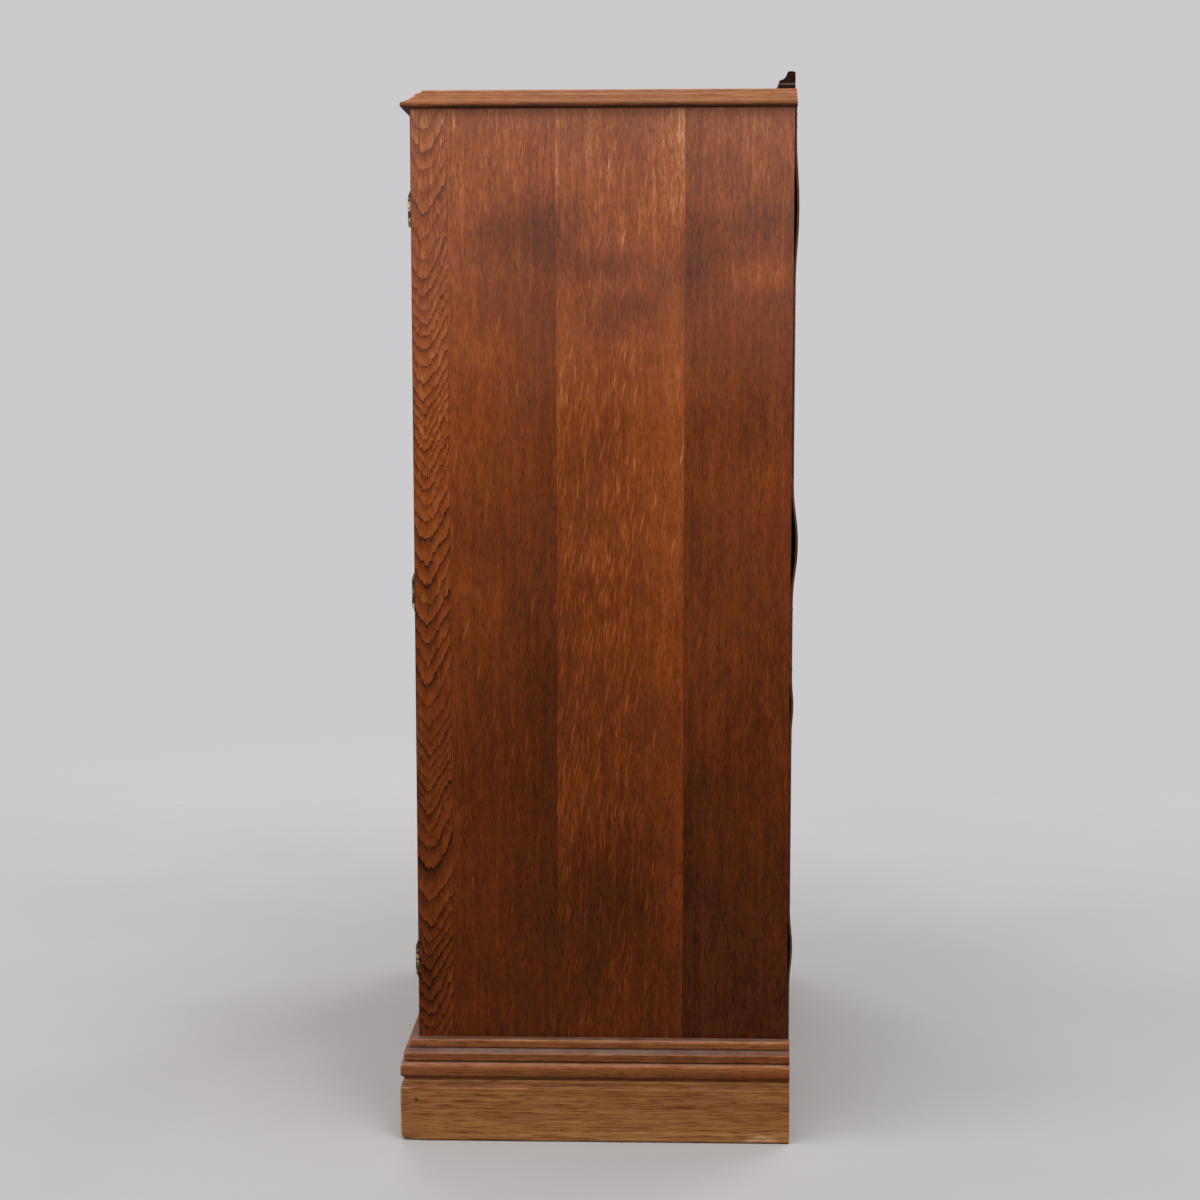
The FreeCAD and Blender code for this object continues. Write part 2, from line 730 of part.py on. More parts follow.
def mitred_runs(name, edge):
    """One moulding across the front and along both sides, mitred at the two front corners."""
    room = f"(plinthProjection + {margin})"
    height = (f"-{margin}", f"bottomBoardTop + {margin}")
    across_front = edge(lambda out, up: (f"front - ({out})", up), -1)
    reach = "halfWidth + plinthProjection"
    body = pad(f"{name}_front", "YZ", across_front, minus(reach), reach)
    corners = []
    for side in (1, -1):
        far = f"{side} * (halfWidth + {room})"
        corners.append([(f"{side} * halfWidth", "front"), (far, "front"), (far, f"front - {room}")])
    keep(f"{name}_front", pocket(body, "XY", corners, *height))
    for side, word in ((1, "right"), (-1, "left")):
        along = edge(lambda out, up: (f"{side} * (halfWidth + {out})", up), side)
        body = pad(f"{name}_{word}", "XZ", along, "front - plinthProjection", "back")
        near, far = f"{side} * halfWidth", f"{side} * (halfWidth + {room})"
        corner = [(near, "front"), (near, f"front - {room}"), (far, f"front - {room}")]
        keep(f"{name}_{word}", pocket(body, "XY", [corner], *height))


def glue_blocks():
    """A block in each corner under the bottom board."""
    blocks = []
    for side, word in ((1, "right"), (-1, "left")):
        x = across(side, "inside - glueBlockSize", "inside")
        front_y = ("front + railThickness", "front + railThickness + glueBlockSize")
        rear_y = ("rear - railThickness - glueBlockSize", "rear - railThickness")
        for place, y in (("front", front_y), ("rear", rear_y)):
            blocks.append(box(f"{place}_{word}_block", x, y, ("baseRailFoot", "bottomBoardUnderside")))
    keep("glue_blocks", group("glue_blocks", blocks))


# ---------------------------------------------------------------- inside
def shelves():
    """Fixed shelves, evenly spaced, each on a bearer at both sides."""
    count = round(sizes["shelfCount"])
    y = ("front + shelfSetback", "rear")
    bearer_y = ("front + shelfSetback", "rear - bearerBackGap")
    bearers = []
    for shelf in range(1, count + 1):
        top = f"(bottomBoardTop + {shelf} * (topUnderside - bottomBoardTop) / {count + 1})"
        underside = f"{top} - shelfThickness"
        name = f"shelf_{shelf}"
        keep(name, box(name, (minus("inside"), "inside"), y, (underside, top)))
        for side, word in ((1, "right"), (-1, "left")):
            x = across(side, "inside - bearerThickness", "inside")
            height = (f"{underside} - bearerHeight", underside)
            bearers.append(box(f"{word}_bearer_{shelf}", x, bearer_y, height))
    keep("shelf_bearers", group("shelf_bearers", bearers))


def door_stops():
    """Small blocks above and below, which the doors close against."""
    stops = []
    y = ("doorBack + stopGap", "doorBack + stopGap + stopThickness")
    heights = {
        "upper": ("frontTopRailUnderside - stopHeight", "frontTopRailUnderside"),
        "lower": ("bottomBoardTop", "bottomBoardTop + stopHeight"),
    }
    for side, word in ((1, "right"), (-1, "left")):
        for place, height in heights.items():
            x = across(side, "stopOffset", "stopOffset + stopLength")
            stops.append(box(f"{place}_{word}_stop", x, y, height))
    keep("door_stops", group("door_stops", stops))


# ---------------------------------------------------------------- doors
def panel_heights():
    return {
        "lower": ("bottomRailHead", "middleRailFoot"),
        "upper": ("middleRailHead", "topRailFoot"),
    }


def rail_heights():
    return {
        "top": ("topRailFoot", "doorHead"),
        "middle": ("middleRailFoot", "middleRailHead"),
        "bottom": ("doorFoot", "bottomRailHead"),
    }


def into_wood(inner, into, depth):
    """A range from an inner edge into the wood, lower end first."""
    far = f"{inner} + ({into}) * {depth}"
    return (inner, far) if into > 0 else (far, inner)


def stile(side, word, place, x, inner, into, tools):
    """A stile with its grooves, its mortises and what its fittings need; inner is the X of its inner edge,
    into is the way from there into the wood."""
    name = f"{word}_door_{place}_stile"
    blank = box(name + "_blank", across(side, *x), ("front", "doorBack"), ("doorFoot", "doorHead"))
    cutters = []
    for panel, (low, high) in panel_heights().items():
        deep = across(side, *into_wood(inner, into, "grooveDepth"))
        height = (f"{low} - grooveDepth", f"{high} + grooveDepth")
        cutters.append(box(f"{name}_{panel}_groove", deep, ("grooveFront", "grooveBack"), height))
    for rail, (low, high) in rail_heights().items():
        deep = across(side, *into_wood(inner, into, "tenonLength"))
        height = (f"{low} + tenonShoulder", f"{high} - tenonShoulder")
        cutters.append(box(f"{name}_{rail}_mortise", deep, ("tenonFront", "tenonBack"), height))
    keep(name, cut(name, blank, cutters + tools))


def door_rails(side, word):
    """Rails between the stiles, each with a tenon at both ends and grooves for the panels."""
    between = across(side, "stileInner", "stileOuter")
    for place, (low, high) in rail_heights().items():
        name = f"{word}_door_{place}_rail"
        blank = box(name + "_blank", between, ("front", "doorBack"), (low, high))
        tenon_x = across(side, "stileInner - tenonLength", "stileOuter + tenonLength")
        tenon = box(name + "_tenon", tenon_x, ("tenonFront", "tenonBack"),
                    (f"{low} + tenonShoulder", f"{high} - tenonShoulder"))
        grooves = []
        if place != "top":
            grooves.append((f"{high} - grooveDepth", high))
        if place != "bottom":
            grooves.append((low, f"{low} + grooveDepth"))
        cutters = [
            box(f"{name}_groove_{count}", between, ("grooveFront", "grooveBack"), height)
            for count, height in enumerate(grooves)
        ]
        keep(name, cut(name, fuse(name + "_whole", [blank, tenon]), cutters))


def door_panels(side, word):
    """Fielded panels: a thin edge in the grooves, and a bevel up to the raised field."""
    held = "(grooveDepth - panelPlay)"
    for place, (low, high) in panel_heights().items():
        name = f"{word}_door_{place}_panel"
        x = across(side, f"stileInner - {held}", f"stileOuter + {held}")
        plate_height = (f"{low} - {held}", f"{high} + {held}")
        plate = box(name + "_plate", x, ("grooveFront", "grooveBack"), plate_height)
        field = doc.addObject("Part::Wedge", name + "_field")
        base_x = across(side, "stileInner", "stileOuter")
        field_x = across(side, "stileInner + fieldMargin", "stileOuter - fieldMargin")
        bounds = {
            "Ymin": "grooveFront - fieldRise",
            "Ymax": "grooveFront",
            "Xmin": field_x[0],
            "Xmax": field_x[1],
            "X2min": base_x[0],
            "X2max": base_x[1],
            "Zmin": f"{low} + fieldMargin",
            "Zmax": f"{high} - fieldMargin",
            "Z2min": low,
            "Z2max": high,
        }
        for prop, text in bounds.items():
            bind(field, prop, text)
        keep(name, fuse(name, [plate, field]))


def knob(side, word):
    """A turned brass knob with its plate and its shank in the stile."""
    outline = [
        ("0", "-knobShankLength"),
        ("knobShankRadius", "-knobShankLength"),
        ("knobShankRadius", "0"),
        ("knobPlateRadius", "0"),
        ("knobPlateRadius", "knobPlateThickness"),
        ("knobNeckRadius", "knobPlateThickness + knobPlateRise"),
        ("knobNeckRadius", "knobNeckLength"),
        ("knobRadius", "knobNeckLength + knobRimRise", "knobUnderRadius", 1),
        ("knobTipRadius", "knobReach", "knobFaceRadius", 1),
        ("0", "knobReach"),
    ]
    at = (f"{side} * (slideX)", "front", "knobHeight")
    body = turned(f"{word}_knob", outline, "-y", at)
    keep(f"{word}_knob", body)
    return rod(f"{word}_knob_hole", "+y", at, "knobShankRadius", "knobShankLength")


def right_door(leaves, screws):
    notches = knuckle_notches("right_door_notch", 1)
    stile(1, "right", "hinge", ("stileOuter", "doorOuter"), "stileOuter", 1, [*leaves, *screws, *notches])
    keyway = [*keyhole("stile", "front", "doorBack"), knob(1, "right")]
    stile(1, "right", "meeting", ("doorInner", "stileInner"), "stileInner", -1, keyway)
    door_rails(1, "right")
    door_panels(1, "right")


def left_door(leaves, screws):
    notches = knuckle_notches("left_door_notch", -1)
    stile(-1, "left", "hinge", ("stileOuter", "doorOuter"), "stileOuter", 1, [*leaves, *screws, *notches])
    stile(-1, "left", "meeting", ("doorInner", "stileInner"), "stileInner", -1, [knob(-1, "left")])
    door_rails(-1, "left")
    door_panels(-1, "left")


# ---------------------------------------------------------------- lock and key
def keyhole(name, low, high):
    """A round hole for the shank and a slot under it for the bit."""
    at = ("keyX", low, "keyHeight")
    radius = "keyShankRadius + keyHoleClearance"
    half = "(keyBitThickness / 2 + keyHoleClearance)"
    round_hole = rod(f"{name}_keyhole", "+y", at, radius, f"({high}) - ({low})")
    slot = box(f"{name}_keyslot", (f"keyX - {half}", f"keyX + {half}"), (low, high),
               ("keyHeight - keyBitHeight - keyHoleClearance", "keyHeight"))
    return [round_hole, slot]


def lock():
    """A cupboard lock on the back of the right door's meeting stile, with its bolt, key and plate."""
    outer = box(
        "lock_case_outer",
        ("caseInner", "caseOuter"),
        ("doorBack", "caseBack"),
        ("caseFoot", "caseHead"),
    )
    hollow = box(
        "lock_case_hollow",
        ("caseInner + lockWall", "caseOuter - lockWall"),
        ("doorBack + lockWall", "caseBack - lockWall"),
        ("caseFoot + lockWall", "caseHead - lockWall"),
    )
    room = "(boltWidth / 2 + boltClearance)"
    bolt_way = box(
        "lock_case_bolt_way",
        ("caseInner", "caseInner + lockWall"),
        ("boltFront - boltClearance", "boltBack + boltClearance"),
        (f"lockHeight - {room}", f"lockHeight + {room}"),
    )
    ways = [hollow, bolt_way, *keyhole("case", "doorBack", "doorBack + lockWall")]
    keep("lock_case", cut("lock_case", outer, ways))
    keep("lock_bolt", box(
        "lock_bolt",
        ("caseInner + boltRest", "caseInner + boltRest + boltBlockLength"),
        ("boltFront", "boltBack"),
        ("lockHeight - boltWidth / 2", "lockHeight + boltWidth / 2"),
    ))
    plate = box(
        "escutcheon_plate",
        ("keyX - escutcheonWidth / 2", "keyX + escutcheonWidth / 2"),
        ("front - escutcheonThickness", "front"),
        ("keyHeight - escutcheonHeight / 2", "keyHeight + escutcheonHeight / 2"),
    )
    through = keyhole("escutcheon", "front - escutcheonThickness", "front")
    keep("escutcheon", cut("escutcheon", plate, through))
    lock_strike(room)
    key()


def lock_strike(room):
    """A box staple on the back of the left door, which the lock bolt enters."""
    edge = "doorInner + strikeEdgeInset"
    half = "strikeHeight / 2"
    block = box("lock_strike_block", across(-1, edge, f"{edge} + strikeWidth"), ("doorBack", "caseBack"),
                (f"lockHeight - {half}", f"lockHeight + {half}"))
    entry = box("lock_strike_entry", across(-1, edge, f"{edge} + strikeWidth - lockWall"),
                ("boltFront - strikeRoom", "boltBack + strikeRoom"),
                (f"lockHeight - {room} - strikeRoom", f"lockHeight + {room} + strikeRoom"))
    keep("lock_strike", cut("lock_strike", block, [entry]))


def key():
    """A key with its ring in line with its bit, standing in the lock."""
    ring_y = "front - keyReach + keyBowRadius"
    inner_end = "doorBack + lockWall + keyBitWidth + boltClearance"
    shank_end = f"{inner_end} + keyTip"
    shank = rod("key_shank", "-y", ("keyX", shank_end, "keyHeight"), "keyShankRadius",
                f"{shank_end} - ({ring_y}) - keyBowRadius + keyBowWidth / 2")
    ring = rod("key_ring", "+x", ("keyX - keyBowThickness / 2", ring_y, "keyHeight"), "keyBowRadius",
               "keyBowThickness")
    eye = rod("key_eye", "+x", ("keyX - keyBowThickness", ring_y, "keyHeight"), "keyBowRadius - keyBowWidth",
              "2 * keyBowThickness")
    bit = box("key_bit", ("keyX - keyBitThickness / 2", "keyX + keyBitThickness / 2"),
              ("doorBack + lockWall + boltClearance", inner_end), ("keyHeight - keyBitHeight", "keyHeight"))
    keep("key", cut("key", fuse("key_whole", [shank, ring, bit]), [eye]))


# ---------------------------------------------------------------- bolts of the left door
def slide_range(end, near, far):
    """A range of heights measured into the door from its top (end 1) or its foot (end -1)."""
    edge = "doorHead" if end > 0 else "doorFoot"
    low, high = (far, near) if end > 0 else (near, far)
    return tuple(f"{edge} - ({end}) * ({depth})" for depth in (low, high))


def slide_bolt(end, word):
    """A flat bolt in two guides on a plate, on the back of the left door's meeting stile."""

    def wide(half):
        return across(-1, f"slideX - ({half})", f"slideX + ({half})")

    plate_y = ("doorBack", "doorBack + slidePlateThickness")
    plate_height = slide_range(end, "slidePlateGap", "slidePlateGap + slidePlateLength")
    plate = box(f"{word}_guide_plate", wide("slidePlateWidth / 2"), plate_y, plate_height)
    room = "slideWidth / 2 + slideClearance"
    loop_y = ("doorBack", "slideBack + slideClearance + guideWall")
    way_y = ("doorBack + slidePlateThickness", "slideBack + slideClearance")
    loops, ways = [], []
    near_ends = ("slidePlateGap", "slidePlateGap + slidePlateLength - guideLength")
    for count, near in enumerate(near_ends, start=1):
        height = slide_range(end, near, f"{near} + guideLength")
        loops.append(box(f"{word}_guide_{count}", wide(f"{room} + guideWall"), loop_y, height))
        ways.append(box(f"{word}_guide_way_{count}", wide(room), way_y, height))
    guides = cut(f"{word}_bolt_guide", fuse(f"{word}_guides_whole", [plate, *loops]), ways)
    bar = box(f"{word}_bolt_bar", wide("slideWidth / 2"), ("slideFront", "slideBack"),
              slide_range(end, "slideTopGap", "slideTopGap + slideLength"))
    middle = "slidePlateGap + slidePlateLength / 2 + slideTravel / 2"
    thumb_foot = (minus("slideX"), "slideBack - slideThickness / 2", slide_range(end, middle, middle)[0])
    thumb_length = "slideKnobReach + slideThickness / 2"
    thumb = rod(f"{word}_bolt_thumb", "+y", thumb_foot, "slideKnobRadius", thumb_length)
    keep(f"{word}_bolt", fuse(f"{word}_bolt", [bar, thumb]))
    return guides


def keeper(word, edge, up):
    """A thin keeper let into the wood at a height, with a slot for the bolt; up is the way in."""
    middle_y = "(slideFront + slideBack) / 2"

    def deep(depth):
        return (edge, f"{edge} + {depth}") if up > 0 else (f"{edge} - ({depth})", edge)

    plate_y = (f"{middle_y} - keeperLength / 2", f"{middle_y} + keeperLength / 2")
    plate_x = across(-1, "slideX - keeperWidth / 2", "slideX + keeperWidth / 2")
    plate = box(f"{word}_keeper_plate", plate_x, plate_y, deep("keeperThickness"))
    slot_x = across(-1, "slideX - slideWidth / 2 - keeperRoom", "slideX + slideWidth / 2 + keeperRoom")
    slot_y = ("slideFront - keeperRoom", "slideBack + keeperRoom")
    slot = box(f"{word}_keeper_slot", slot_x, slot_y, deep("slideTravel + keeperRoom"))
    return cut(f"{word}_keeper", plate, [slot]), [plate, slot]


# ---------------------------------------------------------------- the whole press
def main():
    edges, rows, nails = back_nails()
    screws = []
    for side, word, door in ((1, "right", right_door), (-1, "left", left_door)):
        carcass_leaves, carcass_screws, door_leaves, door_screws = hinges(side, word)
        side_panel(side, word, [*carcass_leaves, *carcass_screws, *edges[word]])
        door(door_leaves, door_screws)
        keep(f"{word}_door_screws", group(f"{word}_door_screws", door_screws))
        screws += carcass_screws
    keep("carcass_hinge_screws", group("carcass_hinge_screws", screws))
    moulded_top()
    rear_upstand()
    lower_keeper, lower_ways = keeper("lower", "bottomBoardTop", -1)
    upper_keeper, upper_ways = keeper("upper", "frontTopRailUnderside", 1)
    keep("bolt_keepers", group("bolt_keepers", [lower_keeper, upper_keeper]))
    frame_rails(upper_ways, lower_ways, rows)
    back_panel(nails)
    mitred_runs("plinth", plinth_edge)
    mitred_runs("base_moulding", moulding_edge)
    glue_blocks()
    shelves()
    door_stops()
    lock()
    guides = [slide_bolt(1, "upper"), slide_bolt(-1, "lower")]
    keep("bolt_guides", group("bolt_guides", guides))


def check_and_write():
    doc.recompute()
    faults = [thing.Name for thing in doc.Objects if {"Invalid", "Error"} & set(thing.State)]
    for name, thing in kept.items():
        if thing.Shape.isNull() or not thing.Shape.isValid() or not thing.Shape.Solids:
            faults.append(name)
    if faults:
        sys.exit("failed: " + ", ".join(faults))
    os.makedirs("parts", exist_ok=True)
    for name, thing in kept.items():
        thing.Shape.exportStep(f"parts/{name}.step")
    whole = Part.makeCompound([thing.Shape for thing in kept.values()]).BoundBox
    print(f"{len(kept)} nodes, {whole.XLength:.1f} x {whole.YLength:.1f} x {whole.ZLength:.1f} mm")


main()
check_and_write()
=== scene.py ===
# Linen press in stained oak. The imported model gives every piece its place; this script gives each
# its finish, and makes the top, the upstand, the plinth and the base moulding again with their wear.
import math

import bmesh
import bpy
from mathutils import Matrix, Vector, noise


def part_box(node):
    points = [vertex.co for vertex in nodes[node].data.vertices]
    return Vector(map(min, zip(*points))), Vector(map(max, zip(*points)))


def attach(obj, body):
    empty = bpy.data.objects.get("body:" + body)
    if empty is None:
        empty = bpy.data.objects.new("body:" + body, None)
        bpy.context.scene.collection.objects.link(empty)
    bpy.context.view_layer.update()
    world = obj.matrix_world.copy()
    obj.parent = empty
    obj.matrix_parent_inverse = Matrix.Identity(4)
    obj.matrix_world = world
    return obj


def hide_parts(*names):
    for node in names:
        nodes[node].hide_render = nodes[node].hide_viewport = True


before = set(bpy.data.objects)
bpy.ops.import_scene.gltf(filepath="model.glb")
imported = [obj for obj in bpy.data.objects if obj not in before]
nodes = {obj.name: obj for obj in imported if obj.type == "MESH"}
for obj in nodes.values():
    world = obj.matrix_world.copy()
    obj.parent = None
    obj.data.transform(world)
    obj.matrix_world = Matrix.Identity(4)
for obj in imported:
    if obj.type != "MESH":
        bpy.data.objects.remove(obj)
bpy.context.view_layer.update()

# places that everything else is measured from, in metres
sideLow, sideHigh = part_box("right_side_panel")
frontY, rearY = sideLow.y, sideHigh.y
halfWidth, topUnderside = sideHigh.x, sideHigh.z
_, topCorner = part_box("moulded_top")
backY, topFace = topCorner.y, topCorner.z
print("frame:", len(nodes), "pieces, carcass", round(2 * halfWidth, 3), "m wide")


def placed(name, data):
    thing = bpy.data.objects.new(name, data)
    bpy.context.scene.collection.objects.link(thing)
    return thing


camera = dict(
    place=(3.3538, 0.1000, 1.1040),
    pitch=-6.177,  # degrees, downwards
    yaw=1.781,  # degrees off square, towards the front of the press
    roll=-0.050,
    focal=2071 / 1200,  # in frame widths
    sensor=36,  # millimetres
)


def makeCamera():
    pitch, yaw, roll = (math.radians(camera[key]) for key in ("pitch", "yaw", "roll"))
    forward = Vector((-math.cos(yaw) * math.cos(pitch), -math.sin(yaw) * math.cos(pitch), math.sin(pitch)))
    right = forward.cross(Vector((0, 0, 1))).normalized()
    right = right * math.cos(roll) + right.cross(forward) * math.sin(roll)
    up = right.cross(forward)
    lens = bpy.data.cameras.new("camera")
    lens.sensor_width = camera["sensor"]
    lens.lens = camera["sensor"] * camera["focal"]
    view = placed("camera", lens)
    view.matrix_world = Matrix.Translation(camera["place"]) @ Matrix((right, up, -forward)).transposed().to_4x4()
    bpy.context.scene.camera = view


def shade(red, green, blue):
    # a colour as read off a screen, from 0 to 255, made linear
    return (*((((c / 255) + 0.055) / 1.055) ** 2.4 if c > 10 else c / 3295 for c in (red, green, blue)), 1.0)


def plug(tree, value, socket):
    # a socket is linked, a plain value is typed in
    if isinstance(value, bpy.types.NodeSocket):
        tree.links.new(value, socket)
    else:
        socket.default_value = value


def fill(tree, node, values):
    for key, value in values.items():
        plug(tree, value, node.inputs[key])


def fed(tree, node, *values):
    # the node's first output, once its inputs have the values in order
    for value, socket in zip(values, node.inputs):
        plug(tree, value, socket)
    return node.outputs[0]


def newNode(tree, kind, **settings):
    node = tree.nodes.new("ShaderNode" + kind)
    for key, value in settings.items():
        setattr(node, key, value)
    return node


def maths(tree, operation, *values):
    return fed(tree, newNode(tree, "Math", operation=operation), *values)


def plus(tree, value, *pairs):
    # the value, with others added; each is followed by its share
    for other, share in zip(pairs[::2], pairs[1::2]):
        value = maths(tree, "MULTIPLY_ADD", other, share, value)
    return value


def times(tree, value, *others):
    for other in others:
        value = maths(tree, "MULTIPLY", value, other)
    return value


def minus(tree, value, other):
    return maths(tree, "SUBTRACT", value, other)


def centred(tree, value):
    # a value from 0 to 1 becomes one from -0.5 to 0.5
    return minus(tree, value, 0.5)


def vectors(tree, operation, *values):
    node = newNode(tree, "VectorMath", operation=operation)
    fed(tree, node, *values)
    return node.outputs["Value" if operation == "LENGTH" else "Vector"]


def parts(tree, vector):
    node = newNode(tree, "SeparateXYZ")
    fed(tree, node, vector)
    return tuple(node.outputs)


def joined(tree, x, y, z):
    return fed(tree, newNode(tree, "CombineXYZ"), x, y, z)


def cloud(tree, place, stretch, detail=2.0, roughness=0.5, output="Fac"):
    # noise from 0 to 1, in repeats per metre along each axis
    node = newNode(tree, "TexNoise")
    place = vectors(tree, "MULTIPLY", place, stretch)
    fill(tree, node, {"Vector": place, "Scale": 1.0, "Detail": detail, "Roughness": roughness})
    return node.outputs[output]


def span(tree, value, low, high, toLow=0.0, toHigh=1.0, smooth=True):
    node = newNode(tree, "MapRange", interpolation_type="SMOOTHSTEP" if smooth else "LINEAR")
    return fed(tree, node, value, low, high, toLow, toHigh)


def lineAt(tree, value, at, core, edge):
    # a thin line where the value is at a place: solid as far as its core, gone at its edge
    away = maths(tree, "ABSOLUTE", minus(tree, value, at))
    return span(tree, away, core, edge, 1.0, 0.0)


def wandering(tree, vector, place, stretch, amount, detail=1, roughness=0.5):
    # the vector, moved to and fro by the noise at a place
    drift = vectors(tree, "SUBTRACT", cloud(tree, place, stretch, detail, roughness, "Color"), (0.5, 0.5, 0.5))
    return vectors(tree, "ADD", vector, vectors(tree, "MULTIPLY", drift, amount))


def yearStrength(tree, years, faintest):
    # each year's line has its own strength
    pick = newNode(tree, "TexWhiteNoise", noise_dimensions="1D")
    plug(tree, maths(tree, "FLOOR", years), pick.inputs["W"])
    return span(tree, pick.outputs["Value"], 0, 1, faintest, 1.0, smooth=False)


def blend(tree, amount, first, second, mode="MIX"):
    node = newNode(tree, "Mix", data_type="RGBA", blend_type=mode)
    plug(tree, amount, node.inputs[0])
    plug(tree, first, node.inputs[6])
    plug(tree, second, node.inputs[7])
    return node.outputs[2]


def rampOf(tree, value, stops, constant=False):
    # stops are (position, colour or grey)
    node = newNode(tree, "ValToRGB")
    node.color_ramp.interpolation = "CONSTANT" if constant else "LINEAR"
    elements = node.color_ramp.elements
    while len(elements) > 1:
        elements.remove(elements[-1])
    for index, (position, colour) in enumerate(stops):
        element = elements[0] if index == 0 else elements.new(position)
        element.position = position
        element.color = colour if isinstance(colour, tuple) else (colour, colour, colour, 1.0)
    return fed(tree, node, value)


def newGroup(name, given, gives):
    # given holds the inputs beside the place, and what they are when nothing is set; gives names the outputs
    group = bpy.data.node_groups.new(name, "ShaderNodeTree")
    for key, value in {"Place": (0, 0, 0), **given}.items():
        kind = "NodeSocketVector" if isinstance(value, tuple) else "NodeSocketFloat"
        socket = group.interface.new_socket(key, in_out="INPUT", socket_type=kind)
        socket.default_value = value
    for key in gives:
        group.interface.new_socket(key, in_out="OUTPUT", socket_type="NodeSocketFloat")
    start = group.nodes.new("NodeGroupInput").outputs
    return group, start["Place"], start, group.nodes.new("NodeGroupOutput").inputs


def use(tree, group, values):
    node = newNode(tree, "Group", node_tree=group)
    fill(tree, node, values)
    return node.outputs


def newMaterial(name):
    material = bpy.data.materials.new(name)
    material.use_nodes = True
    tree = material.node_tree
    return material, tree, tree.nodes["Principled BSDF"], newNode(tree, "TexCoord").outputs["Object"]


def attribute(tree, name, output="Fac"):
    return newNode(tree, "Attribute", attribute_name=name).outputs[output]


def emboss(tree, shader, height, strength, distance):
    node = newNode(tree, "Bump")
    fill(tree, node, {"Strength": strength, "Distance": distance, "Height": height})
    plug(tree, node.outputs[0], shader.inputs["Normal"])


# effects that several finishes share
def makeGrowthRings():
    # the tree's yearly rings: a dark open line where each year starts, fading into its late wood
    tree, place, given, gives = newGroup(
        "Growth rings",
        {"Pith Across": 0.0, "Pith Depth": 0.06, "Tilt": 0.05, "Ring Width": 0.003, "Wander": 0.006},
        ["Lines"],
    )
    x, y, z = parts(tree, wandering(tree, place, place, (7, 7, 1.3), given["Wander"], 2))
    across = minus(tree, x, given["Pith Across"])
    depth = maths(tree, "ADD", plus(tree, y, z, given["Tilt"]), given["Pith Depth"])
    radius = maths(tree, "SQRT", plus(tree, times(tree, depth, depth), across, across))
    ragged = centred(tree, cloud(tree, place, (420, 420, 11), 1))
    years = plus(tree, maths(tree, "DIVIDE", radius, given["Ring Width"]), ragged, 0.55)
    late = maths(tree, "POWER", minus(tree, 1.0, maths(tree, "FRACT", years)), 2.6)
    plug(tree, times(tree, late, yearStrength(tree, years, 0.35)), gives["Lines"])
    return tree


def makeFineGrain():
    # long fibres, and the short open pores between them, along Z
    tree, place, _, gives = newGroup("Fine grain", {}, ["Streaks", "Pores"])
    place = wandering(tree, place, place, (30, 30, 24), (0.004, 0.004, 0))
    broad = cloud(tree, place, (120, 120, 7), 3, 0.6)
    thin = cloud(tree, place, (440, 440, 50), 3, 0.65)
    streaks = plus(tree, times(tree, broad, 0.4), thin, 0.6)
    plug(tree, span(tree, streaks, 0.28, 0.72, smooth=False), gives["Streaks"])
    plug(tree, span(tree, cloud(tree, place, (720, 720, 90)), 0.51, 0.66), gives["Pores"])
    return tree


def makeRayFlecks():
    # the bright flakes of quarter-sawn oak
    tree, place, given, gives = newGroup(
        "Ray flecks", {"Fleck Width": 0.0038, "Fleck Length": 0.050, "Slant": 0.13, "Amount": 0.4}, ["Flecks"]
    )
    bend = times(tree, centred(tree, cloud(tree, place, (26, 26, 22))), 0.014)
    x, _, z = parts(tree, place)
    x = minus(tree, maths(tree, "ADD", x, bend), times(tree, z, given["Slant"]))
    across = maths(tree, "DIVIDE", x, given["Fleck Width"])
    along = maths(tree, "DIVIDE", z, given["Fleck Length"])
    cells = newNode(tree, "TexVoronoi", voronoi_dimensions="2D")
    fill(tree, cells, {"Vector": joined(tree, across, along, 0.0), "Scale": 1.0})
    shape = span(tree, cells.outputs["Distance"], 0.16, 0.46, 1.0, 0.0)
    pick, lift, _ = parts(tree, cells.outputs["Color"])
    shown = maths(tree, "LESS_THAN", pick, given["Amount"])
    plug(tree, times(tree, shape, shown, plus(tree, 0.4, lift, 0.6)), gives["Flecks"])
    return tree


def makeSoftSpot():
    # one patch with a soft ragged edge
    tree, place, given, gives = newGroup(
        "Soft spot", {"Centre": (0, 0, 0), "Reach": (0.05, 0.05, 0.05), "Ragged": 0.5}, ["Mask"]
    )
    away = vectors(tree, "DIVIDE", vectors(tree, "SUBTRACT", place, given["Centre"]), given["Reach"])
    away = wandering(tree, away, place, (34, 34, 12), given["Ragged"], 4, 0.6)
    plug(tree, span(tree, vectors(tree, "LENGTH", away), 0.1, 1.3, 1.0, 0.0), gives["Mask"])
    return tree


def makeEdgeWearAndShade():
    # how near a point on a squared piece is to one of its edges
    tree, place, given, gives = newGroup(
        "Edge wear and shade", {"Low Corner": (0, 0, 0), "High Corner": (1, 1, 1), "Reach": 0.003}, ["Mask"]
    )
    low = vectors(tree, "SUBTRACT", place, given["Low Corner"])
    high = vectors(tree, "SUBTRACT", given["High Corner"], place)
    x, y, z = parts(tree, vectors(tree, "ABSOLUTE", vectors(tree, "MINIMUM", low, high)))
    # of the three distances to a pair of faces, the middle one is the distance to an edge
    small, large = maths(tree, "MINIMUM", x, y), maths(tree, "MAXIMUM", x, y)
    edge = maths(tree, "MAXIMUM", small, maths(tree, "MINIMUM", large, z))
    wearAndPaintedLight = cloud(tree, place, (60, 60, 60), 4, 0.65)
    reach = times(tree, given["Reach"], span(tree, wearAndPaintedLight, 0.3, 0.7, 0.15, 1.6))
    plug(tree, span(tree, maths(tree, "DIVIDE", edge, reach), 0.2, 1.0, 1.0, 0.0), gives["Mask"])
    return tree


